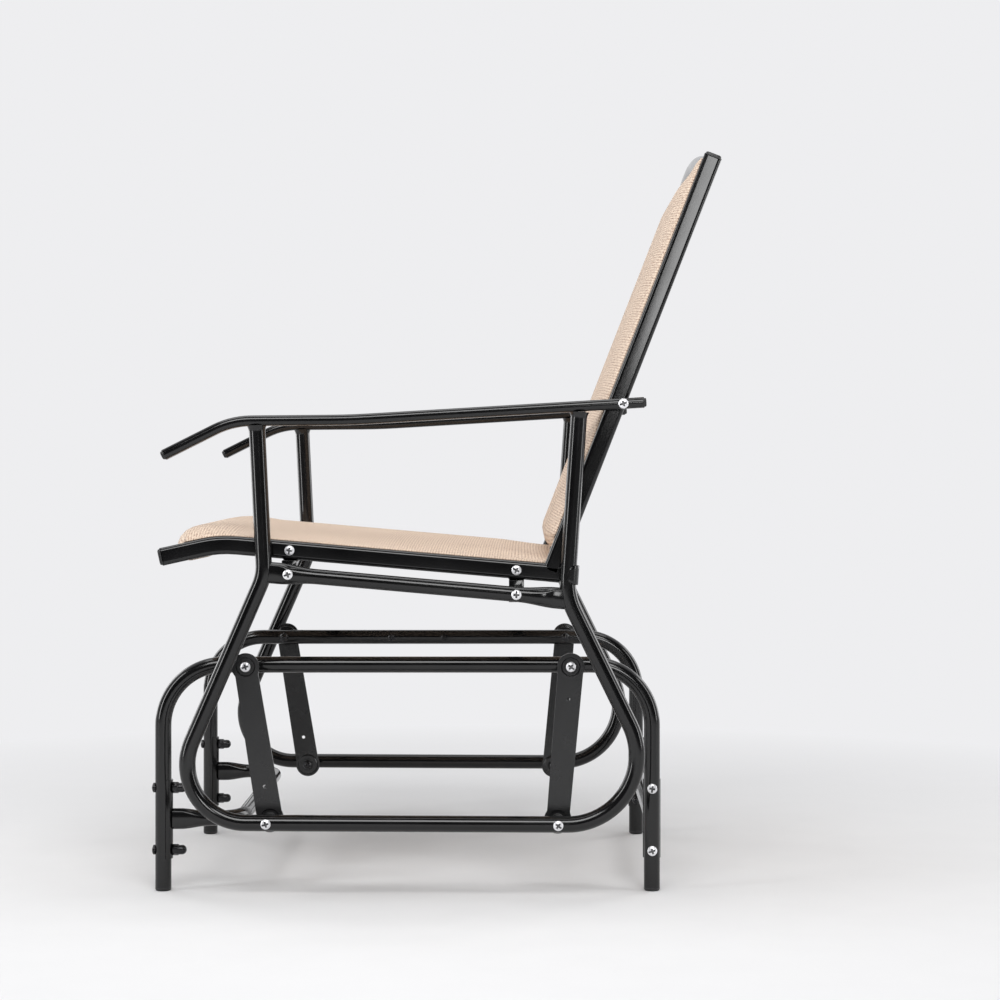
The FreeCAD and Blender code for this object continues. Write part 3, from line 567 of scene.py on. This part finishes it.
def welded_tube(mesh, line, size, across=ACROSS):
    """A tube that swells a little at both ends, where it is welded on."""
    spots = [WELD_RUN * (at / WELD_STEPS) ** WELD_CROWDED for at in range(WELD_STEPS + 1)]
    head = [line[0] + (line[1] - line[0]).normalized() * spot for spot in spots]
    tail = [line[-1] + (line[-2] - line[-1]).normalized() * spot for spot in reversed(spots)]
    swollen = [size + WELD_SWELL * (1 - spot / WELD_RUN) ** WELD_HOLLOW for spot in spots]
    middle = line[1:-1]
    sweep_tube(mesh, head + middle + tail, swollen + [size] * len(middle) + swollen[::-1],
               across=across)


for side, sign in SIDES.items():
    mesh = bmesh.new()
    welded_tube(mesh, bent_line(in_side_view(LOOP_POINTS, sign * LOOP_OUT), LOOP_BENDS), TUBE)
    add_piece(f"painted_side_loop_{side}", mesh, black_paint, "seat", "frame_paint",
              f"side_loop_{side}")

# Armrests. Flat oval tubes, 24 by 13 mm, that curve down at the front, with a plastic plug
# in each end.
ARM_POINTS = [(-0.3281, 0.5408), (-0.2471, 0.5814), (-0.1044, 0.5826), (0.2502, 0.6037)]
ARM_BENDS = [0.102, 0.900]
ARM_SHAPE, ARM_SIDES = (0.024, 0.013, 0.006), 40
PLUG = 0.004
PLUG_STEPS = [(-0.001, 0.0), (0.0009, 0.0), (0.0013, 0.0006), (0.0016, 0.0022),
              (0.0030, 0.0026), (PLUG - 0.0003, 0.0036), (PLUG, 0.0052)]


def tube_plugs(mesh, line, shape, ends):
    """Plastic plugs: a rim as wide as the tube, and a smaller domed step beyond it."""
    wide, tall, corner = shape
    for at, after in ends:
        end = line[at]
        out = (end - line[after]).normalized()
        sweep_tube(mesh, [end + out * along for along, less in PLUG_STEPS],
                   [wide - less for along, less in PLUG_STEPS],
                   [tall - less for along, less in PLUG_STEPS],
                   [max(0.0005, corner - less / 2) for along, less in PLUG_STEPS])


for side, sign in SIDES.items():
    mesh = bmesh.new()
    arm_line = bent_line(in_side_view(ARM_POINTS, sign * LOOP_OUT), ARM_BENDS)
    sweep_tube(mesh, arm_line, *ARM_SHAPE, sides=ARM_SIDES)
    add_piece(f"oval_armrest_{side}", mesh, black_paint, "seat", "frame_paint",
              f"armrest_{side}")
mesh = bmesh.new()
for sign in SIDES.values():
    tube_plugs(mesh, in_side_view(ARM_POINTS, sign * LOOP_OUT), ARM_SHAPE, ((0, 1), (-1, -2)))
add_piece("stepped_armrest_plugs", mesh, black_plastic, "seat", "plug_plastic",
          "armrest_plugs")

# Support rails. 18.5 mm tubes between the posts on each side, with their ends pressed flat,
# so that they stand 26 mm tall where they are welded to the posts.
SUPPORT_TUBE = 0.0185
SUPPORT_POINTS = [(-0.2026, 0.39785), (0.1566, 0.36605)]
SUPPORT_FLAT, SUPPORT_FLARE, SUPPORT_THIN = 0.012, 0.044, 0.016


def square_to(run):
    """The direction square to a run in the side view: up for a rail, forward for the back."""
    return Vector((-run.z, 0, run.x))


for side, sign in SIDES.items():
    mesh = bmesh.new()
    support_line = in_side_view(SUPPORT_POINTS, sign * LOOP_OUT)
    support_run = (support_line[1] - support_line[0]).normalized()
    pressed_tube(mesh, support_line, [], SUPPORT_TUBE, square_to(support_run), SUPPORT_FLAT,
                 SUPPORT_FLARE, SUPPORT_THIN)
    add_piece(f"pressed_support_rail_{side}", mesh, black_paint, "seat", "frame_paint",
              f"support_rail_{side}")

# Seat rails and back uprights. Square-cornered 20 by 22 mm tubes, each with a groove under the
# sling's edge, which covers it. Their open ends are closed with plastic plugs.
RAIL_OUT = 0.278
RAIL_WIDE, RAIL_TALL = 0.020, 0.022
RAIL_SHAPE = (RAIL_WIDE, RAIL_TALL, 0.0055)
RAIL_POINTS = [(-0.3346, 0.41615), (-0.2652, 0.43155), (0.1671, 0.39405)]
RAIL_BEND = 0.138
BACK_FOOT = Vector((0.1399, 0, 0.3992))
BACK_TOP = Vector((0.3364, 0, 0.9032))
for side, sign in SIDES.items():
    shift = ACROSS * sign * RAIL_OUT
    rail_line = bent_line(in_side_view(RAIL_POINTS, sign * RAIL_OUT), [RAIL_BEND])
    for name, line, node in (
            (f"grooved_seat_rail_{side}", rail_line, f"seat_rail_{side}"),
            (f"grooved_upright_{side}", [BACK_FOOT + shift, BACK_TOP + shift],
             f"back_upright_{side}")):
        mesh = bmesh.new()
        sweep_tube(mesh, line, *RAIL_SHAPE)
        flat_sided(add_piece(name, mesh, black_paint, "seat", "frame_paint", node))
for name, node, line in (
        ("seat_rail_caps", "seat_rail_plugs", in_side_view(RAIL_POINTS, 0)),
        ("upright_caps", "back_upright_plugs", [BACK_TOP, BACK_FOOT])):
    mesh = bmesh.new()
    for sign in SIDES.values():
        shift = ACROSS * sign * RAIL_OUT
        tube_plugs(mesh, [point + shift for point in line], RAIL_SHAPE, ((0, 1),))
    add_piece(name, mesh, black_plastic, "seat", "plug_plastic", node)

# Bars of the seat and the back. An arched 20 mm bar joins the uprights' tops; straight
# 18 mm bars join their feet and the fronts of the seat rails. All are welded at both ends.
LENGTHWISE = Vector((1, 0, 0))
RAIL_IN = RAIL_OUT - RAIL_WIDE / 2
TOP_BAR_DROP, TOP_BAR_RISE, TOP_BAR_SUNK = 0.012, 0.026, 0.003
ARCH_STEPS = 20
LOWER_BAR_AT, SEAT_BAR_AT, BAR_SUNK = 0.042, 0.032, 0.0005
back_up = (BACK_TOP - BACK_FOOT).normalized()
top_end = BACK_TOP - back_up * TOP_BAR_DROP
top_reach = RAIL_IN + TOP_BAR_SUNK
arch = (top_reach ** 2 + TOP_BAR_RISE ** 2) / (2 * TOP_BAR_RISE)
half_turn = math.asin(top_reach / arch)
turns = [half_turn * at / ARCH_STEPS for at in range(-ARCH_STEPS, ARCH_STEPS + 1)]
arch_line = [Vector((top_end.x, arch * math.sin(turn),
                     top_end.z + TOP_BAR_RISE - arch * (1 - math.cos(turn)))) for turn in turns]
mesh = bmesh.new()
sweep_tube(mesh, arch_line, TUBE, across=LENGTHWISE)
add_piece("arched_top_bar", mesh, black_paint, "seat", "frame_paint", "back_top_bar")


def add_cross_bar(name, node, place, reach):
    """A straight bar across the chair, welded at both ends."""
    mesh = bmesh.new()
    welded_tube(mesh, [place - ACROSS * reach, place, place + ACROSS * reach], CROSS_TUBE,
                LENGTHWISE)
    add_piece(name, mesh, black_paint, "seat", "frame_paint", node)


rail_tip, rail_bend = in_side_view(RAIL_POINTS[:2], 0)
rail_run = (rail_bend - rail_tip).normalized()
add_cross_bar("welded_lower_bar", "back_lower_bar", BACK_FOOT + back_up * LOWER_BAR_AT,
              RAIL_IN + BAR_SUNK)
add_cross_bar("welded_front_bar", "seat_front_bar", rail_tip + rail_run * SEAT_BAR_AT,
              RAIL_IN + BAR_SUNK)

# Stretchers. Two 18 mm tubes across the chair, welded to joggled end plates that are bolted
# to the seat rails and the support rails.
add_piece("joggled_end_plates", rounded_copy("stretcher_brackets", SHEET_EDGE), black_paint, "seat",
          "frame_paint", "stretcher_brackets")
for end in ("front", "rear"):
    low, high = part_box(f"{end}_stretcher")
    add_cross_bar(f"welded_{end}_stretcher", f"{end}_stretcher", (low + high) / 2,
                  (high.y - low.y) / 2)
add_bolts("stretcher_round_bolts", "stretcher_bolts", "seat", zinc)
add_cap_nuts("stretcher_cap_nuts", "stretcher_nuts", "seat")

# Rear post clips. Plates of 3 mm steel, bent half round the backs of the rear posts, that
# carry the seat rails' rear ends. They get lower towards their ends.
CLIP_OUT, CLIP_WALL, CLIP_TALL, CLIP_TAPER = 0.013, 0.003, 0.024, 0.4
CLIP_SHARP, CLIP_EDGE = math.radians(60), 0.001
knee, post_top = in_side_view(LOOP_POINTS[-2:], 0)
post_up = (post_top - knee).normalized()
post_back = ACROSS.cross(post_up)
low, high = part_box("rear_post_clips")
clip_middle = knee + post_up * ((low + high) / 2 - knee).dot(post_up)
mesh = bmesh.new()
for sign in SIDES.values():
    axis = clip_middle + ACROSS * sign * LOOP_OUT
    for vert in bmesh.ops.create_grid(mesh, x_segments=24, y_segments=6, size=1)["verts"]:
        turn = vert.co.x * math.pi / 2
        lift = vert.co.y * CLIP_TALL / 2 * (1 - CLIP_TAPER * abs(vert.co.x) ** 3)
        vert.co = (axis + post_back * (math.cos(turn) * CLIP_OUT)
                   + ACROSS * (math.sin(turn) * CLIP_OUT) + post_up * lift)
mesh.normal_update()
bmesh.ops.solidify(mesh, geom=mesh.faces[:], thickness=CLIP_WALL)
round_edges(mesh, [edge for edge in mesh.edges if edge.calc_face_angle(0) > CLIP_SHARP],
            CLIP_EDGE)
add_piece("pressed_post_clips", mesh, black_paint, "seat", "frame_paint", "rear_post_clips")

# Armrest bolts and lower pivots. Zinc plated bolts go through the armrests and uprights, and
# through the runners to the links, with ribbed black plastic spacers in between.
RIBS, SPACER_BORE, RIB_VALLEY, RIB_TOP, SPACER_SIDES = 7, 0.0041, 0.0052, 0.006, 28
RIB_STEPS = [(RIB_VALLEY, 0.05), (RIB_TOP, 0.25), (RIB_TOP, 0.75), (RIB_VALLEY, 0.95)]
for kind in ("armrest", "lower_pivot"):
    add_bolts(f"{kind}_round_bolts", f"{kind}_bolts", "seat", zinc)
for kind in ("armrest", "lower_pivot"):
    add_cap_nuts(f"{kind}_cap_nuts", f"{kind}_nuts", "seat")
mesh = bmesh.new()
for low, high in solid_boxes("lower_pivot_spacers"):
    middle = (low + high) / 2
    out = outward(middle)
    length = size_along(low, high, out)
    ribs = [(radius, (rib + share) * length / RIBS)
            for rib in range(RIBS) for radius, share in RIB_STEPS]
    turn_profile(mesh, [(SPACER_BORE, 0), *ribs, (SPACER_BORE, length), (SPACER_BORE, 0)],
                 middle - out * (length / 2), out, SPACER_SIDES)
add_piece("ribbed_pivot_spacers", mesh, black_plastic, "seat", "nut_steel",
          "lower_pivot_spacers")

# Slings. Seat and back are panels of woven synthetic mesh, held by rods in the rails' grooves.
# They stand a little proud between the rails, and one end of each is a sleeve round a bar.
SLING_HALF, SLEEVE_HALF = 0.2815, 0.2625
CLOTH, CLOTH_GAP = 0.0012, 0.0002
ON_RAIL = RAIL_TALL / 2 + CLOTH / 2 + CLOTH_GAP
OVER_SHARE, WARP_SHARE, ROW_SHARE = 0.2, 0.25, 0.55
FLECK_SCALE, FLECK_RANGE = (120, 560, 1), (0.35, 0.58)
BROAD_SCALE, TONE_RANGE = 7, (0.15, 0.85)
FLECK_TONE, WEAVE_TONE, BROAD_TONE = 0.40, 0.6, 0.2
WEAVE_DEPTH = 0.0005


def yarn_waves(tree, place):
    """A wave with one crest for each yarn that is crossed."""
    return math_node(tree, "ABSOLUTE", math_node(
        tree, "SINE", math_node(tree, "MULTIPLY", place, math.pi)))


def make_weave_group():
    """Yarns over and under each other on a UV map in metres: a height, a tone and flecks."""
    group, given, made = new_group(
        "open_weave",
        [("UV", VECTOR, (0, 0, 0)), ("Warp", NUMBER, 0.002), ("Row", NUMBER, 0.003)],
        [("Height", NUMBER), ("Tone", NUMBER), ("Fleck", NUMBER)])
    split = group.nodes.new("ShaderNodeSeparateXYZ")
    group.links.new(given.outputs["UV"], split.inputs[0])
    across = math_node(group, "DIVIDE", split.outputs[0], given.outputs["Warp"])
    along = math_node(group, "DIVIDE", split.outputs[1], given.outputs["Row"])
    shifted = math_node(group, "MULTIPLY_ADD", math_node(group, "FLOOR", along), 0.5,
                        math_node(group, "MULTIPLY", across, 0.5))
    over = math_node(group, "SINE", math_node(group, "MULTIPLY", shifted, 2 * math.pi))
    rows = math_node(group, "MULTIPLY", yarn_waves(group, along), ROW_SHARE)
    yarns = math_node(group, "MULTIPLY_ADD", yarn_waves(group, across), WARP_SHARE, rows)
    height = math_node(group, "MULTIPLY_ADD", over, OVER_SHARE, yarns)
    stretched = group.nodes.new("ShaderNodeMapping")
    stretched.inputs["Scale"].default_value = FLECK_SCALE
    group.links.new(given.outputs["UV"], stretched.inputs["Vector"])
    fleck = noise_node(group, stretched.outputs["Vector"], 1, 3)
    broad = math_node(group, "MULTIPLY",
                      noise_node(group, given.outputs["UV"], BROAD_SCALE, 4), BROAD_TONE)
    plain = math_node(group, "MULTIPLY_ADD", height, WEAVE_TONE, broad)
    tone = math_node(group, "MULTIPLY_ADD", spread_node(group, fleck, *FLECK_RANGE, 0, 1),
                     FLECK_TONE, plain)
    for label, value in (("Height", height), ("Fleck", fleck),
                         ("Tone", spread_node(group, tone, *TONE_RANGE, 0, 1))):
        group.links.new(value, made.inputs[label])
    return group


def woven_finish(name, dark, light, warp, row):
    material, tree, shader, weave = new_finish(name, make_weave_group())
    tree.links.new(tree.nodes.new("ShaderNodeUVMap").outputs["UV"], weave.inputs["UV"])
    weave.inputs["Warp"].default_value = warp
    weave.inputs["Row"].default_value = row
    for label, value in (
            ("Base Color", mix_node(tree, weave.outputs["Tone"], dark, light)),
            ("Roughness", spread_node(tree, weave.outputs["Fleck"], 0.3, 0.7, 0.55, 0.8)),
            ("Normal", bump_node(tree, weave.outputs["Height"], 0.5, WEAVE_DEPTH))):
        tree.links.new(value, shader.inputs[label])
    return material


woven_mesh = woven_finish("woven_beige_mesh", (0.24, 0.120, 0.078), (0.735, 0.600, 0.475),
                          0.0024, 0.0034)


def cloth_panel(mesh, columns, rows, place):
    """A sheet drawn from a grid: place(u, v) gives each point. Its UV map is in metres."""
    verts = bmesh.ops.create_grid(mesh, x_segments=columns, y_segments=rows, size=1)["verts"]
    shares = {vert: ((vert.co.x + 1) / 2, (vert.co.y + 1) / 2) for vert in verts}
    uv = mesh.loops.layers.uv.new("UVMap")
    width = sum((place((at + 1) / columns, 0.5) - place(at / columns, 0.5)).length
                for at in range(columns))
    length = sum((place(0.5, (at + 1) / rows) - place(0.5, at / rows)).length
                 for at in range(rows))
    for face in mesh.faces:
        for loop in face.loops:
            u, v = shares[loop.vert]
            loop[uv].uv = (u * width, v * length)
    for vert in verts:
        vert.co = place(*shares[vert])
    return width, length


def point_on(line, share):
    """The point at a share of a line's length, and the direction there."""
    lengths = [(after - before).length for before, after in zip(line, line[1:])]
    left = share * sum(lengths)
    for before, after, length in zip(line, line[1:], lengths):
        if left <= length or after is line[-1]:
            return before.lerp(after, left / length), (after - before).normalized()
        left -= length


def crown(u, power):
    """How far the cloth stands proud at a share of its width: it rises from its edges."""
    return 1 - abs(2 * u - 1) ** power


SLEEVE_ARC, SLEEVE_FLAT = 10, 2
SLEEVE_TAIL = 0.020


def sleeve_place(bar, run, up, row, u, rise):
    """Points of a sleeve that goes half round a bar, then flat along behind it."""
    turn = math.pi * min(1, row / SLEEVE_ARC)
    tail = SLEEVE_TAIL * max(0, row - SLEEVE_ARC) / SLEEVE_FLAT
    loose = ON_RAIL + rise * (1 + math.cos(turn)) / 2
    return (bar - run * (math.sin(turn) * loose - tail) + up * (math.cos(turn) * loose)
            + ACROSS * (2 * u - 1) * SLEEVE_HALF)


SEAT_CROWN, SEAT_FRONT_CROWN, SEAT_FRONT_RUN = 0.0092, 0.0155, 0.07
SEAT_REAR_FROM, SEAT_REAR_CUT, SEAT_REAR_REACH, SEAT_REAR_HOLLOW = 0.9, 0.036, 0.0215, 0.007
SEAT_SINK_FROM, SEAT_SINK = 0.85, 0.5
SEAT_SQUARE, SEAT_FRONT_SQUARE = 3, 9
seat_line = bent_line(in_side_view(RAIL_POINTS, 0), [RAIL_BEND])
seat_line[0] = seat_line[0] + rail_run * SEAT_BAR_AT
rail_end_run = (seat_line[-1] - seat_line[-2]).normalized()
seat_line[-1] = seat_line[-1] - rail_end_run * SEAT_REAR_CUT
seat_length = sum((after - before).length for before, after in zip(seat_line, seat_line[1:]))


def seat_place(u, v):
    """The seat's panel: crowned, most at the front, with a hollow rear edge between the rails."""
    share = abs(2 * u - 1)
    point, run = point_on(seat_line, v)
    if v > SEAT_REAR_FROM and share < SLEEVE_HALF / SLING_HALF:
        more = SEAT_REAR_CUT - SEAT_REAR_REACH - SEAT_REAR_HOLLOW * (1 - share ** 2)
        point = point + run * (more * (v - SEAT_REAR_FROM) / (1 - SEAT_REAR_FROM))
    near_front = 1 - ease(v * seat_length / SEAT_FRONT_RUN)
    rise = SEAT_CROWN + (SEAT_FRONT_CROWN - SEAT_CROWN) * near_front
    rise *= crown(u, SEAT_SQUARE + (SEAT_FRONT_SQUARE - SEAT_SQUARE) * near_front)
    rise *= 1 - SEAT_SINK * ease((v - SEAT_SINK_FROM) / (1 - SEAT_SINK_FROM))
    return point + square_to(run) * (ON_RAIL + rise) + ACROSS * (2 * u - 1) * SLING_HALF


BACK_CROWN, BACK_SQUARE, BACK_HEM = 0.0125, 7, 0.006
BACK_FLAT, BACK_FLAT_RUN = 0.2, 0.04
back_low = BACK_FOOT + back_up * LOWER_BAR_AT
back_high = BACK_TOP - back_up * BACK_HEM
back_length = (back_high - back_low).length


def back_place(u, v):
    """The back's panel: crowned, but nearly flat at its upper hem."""
    rise = BACK_CROWN * crown(u, BACK_SQUARE)
    rise *= BACK_FLAT + (1 - BACK_FLAT) * ease((1 - v) * back_length / BACK_FLAT_RUN)
    return (back_low.lerp(back_high, v) + square_to(back_up) * (ON_RAIL + rise)
            + ACROSS * (2 * u - 1) * SLING_HALF)


def sew_sleeve(mesh, bar, run, up):
    """Extrudes the edge of a panel's first row into a sleeve, with its UV map carried on."""
    uv = mesh.loops.layers.uv.verify()
    edges = [edge for edge in mesh.edges if edge.is_boundary
             and all(min(loop[uv].uv.y for loop in vert.link_loops) < SAME_POINT
                     for vert in edge.verts)]
    at_u = {}
    for edge in edges:
        for vert in edge.verts:
            loop = min(vert.link_loops, key=lambda one: one[uv].uv.y)
            at_u[vert] = loop[uv].uv.x
    width = max(at_u.values())
    rises = {place: (vert.co - bar).dot(up) - ON_RAIL for vert, place in at_u.items()}
    down = 0.0
    for row in range(1, SLEEVE_ARC + SLEEVE_FLAT + 1):
        before = {vert: at_u[vert] for edge in edges for vert in edge.verts}
        grown = bmesh.ops.extrude_edge_only(mesh, edges=edges)["geom"]
        verts = [item for item in grown if isinstance(item, bmesh.types.BMVert)]
        faces = [item for item in grown if isinstance(item, bmesh.types.BMFace)]
        step = math.pi * ON_RAIL if row <= SLEEVE_ARC else SLEEVE_TAIL
        step /= SLEEVE_ARC if row <= SLEEVE_ARC else SLEEVE_FLAT
        for vert in verts:
            old = next(edge.other_vert(vert) for edge in vert.link_edges
                       if edge.other_vert(vert) in before)
            at_u[vert] = before[old]
        for face in faces:
            for loop in face.loops:
                loop[uv].uv = (at_u[loop.vert], down if loop.vert in before else down - step)
        down -= step
        for vert in verts:
            vert.co = sleeve_place(bar, run, up, row, at_u[vert] / width, rises[at_u[vert]])
        edges = [item for item in grown if isinstance(item, bmesh.types.BMEdge)
                 and item.verts[0] in verts and item.verts[1] in verts]
    return -down


COLUMNS, SEAT_ROWS, BACK_ROWS = 64, 72, 76
for name, node, place, rows, bar, run, rests in (
        ("seat_mesh_panel", "seat_sling", seat_place, SEAT_ROWS, seat_line[0], rail_run,
         ["grooved_seat_rail_left", "grooved_seat_rail_right"]),
        ("back_mesh_panel", "back_sling", back_place, BACK_ROWS, back_low, back_up,
         ["grooved_upright_left", "grooved_upright_right"])):
    mesh = bmesh.new()
    width, length = cloth_panel(mesh, COLUMNS, rows, place)
    length += sew_sleeve(mesh, bar, run, square_to(run))
    panel = add_piece(name, mesh, woven_mesh, "seat", "sling_mesh", node)
    thick = panel.modifiers.new("cloth_thickness", "SOLIDIFY")
    thick.thickness = CLOTH
    thick.offset = 0

# Floor. A large pale sheet under the chair, and not part of it. Far from the chair it runs
# into the plain pale background that the camera, metal and plastic see.
BACKGROUND = (0.855, 0.855, 0.87)
FLOOR_SIZE, FADE_FROM, FADE_TO = 9.0, 0.55, 1.6
FLOOR_BEHIND, AIR_BEHIND = (-1.5, 1.0), (-0.25, 0.15)


def seen_rays(tree, rays, place, from_y, to_y):
    """The rays that see the background: the camera's, passing ones, and reflected ones behind."""
    axes = tree.nodes.new("ShaderNodeSeparateXYZ")
    tree.links.new(place, axes.inputs[0])
    shiny = math_node(tree, "MULTIPLY", rays["Is Glossy Ray"],
                      spread_node(tree, axes.outputs[1], from_y, to_y, 0, 1))
    plain = math_node(tree, "MAXIMUM", rays["Is Camera Ray"], rays["Is Transmission Ray"])
    return math_node(tree, "MAXIMUM", plain, shiny)


pale_sheet = hard_finish("pale_sheet", (0.74, 0.74, 0.745), (0.75, 0.75, 0.755), 40,
                         (0.85, 0.9), 0.0)
tree = pale_sheet.node_tree
shader = tree.nodes["Principled BSDF"]
place = tree.nodes["Texture Coordinate"].outputs["Object"]
shader.inputs["Specular IOR Level"].default_value = 0.1
far = tree.nodes.new("ShaderNodeVectorMath")
far.operation = "LENGTH"
tree.links.new(place, far.inputs[0])
faded = spread_node(tree, far.outputs["Value"], FADE_FROM, FADE_TO, 0, 1)
rays = tree.nodes.new("ShaderNodeLightPath").outputs
glow = tree.nodes.new("ShaderNodeEmission")
glow.inputs["Color"].default_value = (*BACKGROUND, 1)
fade = tree.nodes.new("ShaderNodeMixShader")
for socket, value in zip(fade.inputs, (
        math_node(tree, "MULTIPLY", faded, seen_rays(tree, rays, place, *FLOOR_BEHIND)),
        shader.outputs[0], glow.outputs[0])):
    tree.links.new(value, socket)
tree.links.new(fade.outputs[0], tree.nodes["Material Output"].inputs["Surface"])
mesh = bmesh.new()
bmesh.ops.create_circle(mesh, cap_ends=True, segments=64, radius=FLOOR_SIZE)
data = bpy.data.meshes.new("pale_floor")
mesh.to_mesh(data)
mesh.free()
data.materials.append(pale_sheet)
pale_floor = bpy.data.objects.new("pale_floor", data)
bpy.context.scene.collection.objects.link(pale_floor)

# Light. Soft panels above, in front, to the left and right, and a low even light between
# them. Glossy surfaces see the pale background behind the chair, and a dim room before it.
AIR, ROOM = 0.26, 0.06


def light_panel(name, place, target, size, power):
    data = bpy.data.lights.new(name, "AREA")
    data.shape = "RECTANGLE"
    data.size, data.size_y = size
    data.energy = power
    light = bpy.data.objects.new(name, data)
    light.location = place
    aim = Vector(target) - Vector(place)
    light.rotation_euler = aim.to_track_quat("-Z", "Y").to_euler()
    bpy.context.scene.collection.objects.link(light)


world = bpy.data.worlds.new("studio_air")
bpy.context.scene.world = world
world.use_nodes = True
tree = world.node_tree
air = tree.nodes["Background"]
air.inputs["Color"].default_value = (*BACKGROUND, 1)
way = tree.nodes.new("ShaderNodeTexCoord")
rays = tree.nodes.new("ShaderNodeLightPath").outputs
seen = seen_rays(tree, rays, way.outputs["Generated"], *AIR_BEHIND)
fill = spread_node(tree, rays["Is Glossy Ray"], 0, 1, AIR, ROOM)
tree.links.new(spread_node(tree, seen, 0, 1, fill, 1.0), air.inputs["Strength"])
light_panel("top_panel", (0.0, 0.1, 2.8), (0, 0.0, 0.3), (2.8, 1.4), 28)
light_panel("front_panel", (0.0, -2.5, 2.5), (0, 0, 0.4), (2.8, 1.2), 70)
light_panel("left_panel", (-2.4, -1.3, 1.1), (0, 0, 0.4), (0.5, 2.0), 24)
light_panel("right_panel", (2.6, -0.9, 1.1), (0, 0, 0.4), (0.5, 2.0), 16)
light_panel("card_panel", (0.78, -3.5, 1.12), (0.4, 0, 0.8), (0.8, 0.8), 17)
light_panel("rear_left_panel", (-2.5, 2.0, 1.2), (0, 0, 0.5), (1.2, 2.2), 24)
light_panel("rear_right_panel", (2.6, 1.9, 1.2), (0, 0, 0.5), (1.2, 2.2), 24)

# Camera. Level and square to the chair's left side, about 3.3 m away, as the photo's
# perspective tells. The picture is shifted a little, as the photo was cropped.
camera_data = bpy.data.cameras.new("side_camera")
camera_data.lens = 88.8
camera_data.sensor_width = 36
camera_data.shift_x = -0.029
camera_data.shift_y = -0.05
camera_data.clip_end = 50
camera = bpy.data.objects.new("side_camera", camera_data)
camera.location = (0.1123, -3.287, 0.5462)
camera.rotation_euler = (math.pi / 2, 0, 0)
bpy.context.scene.collection.objects.link(camera)
bpy.context.scene.camera = camera
bpy.context.scene.view_settings.view_transform = "Standard"
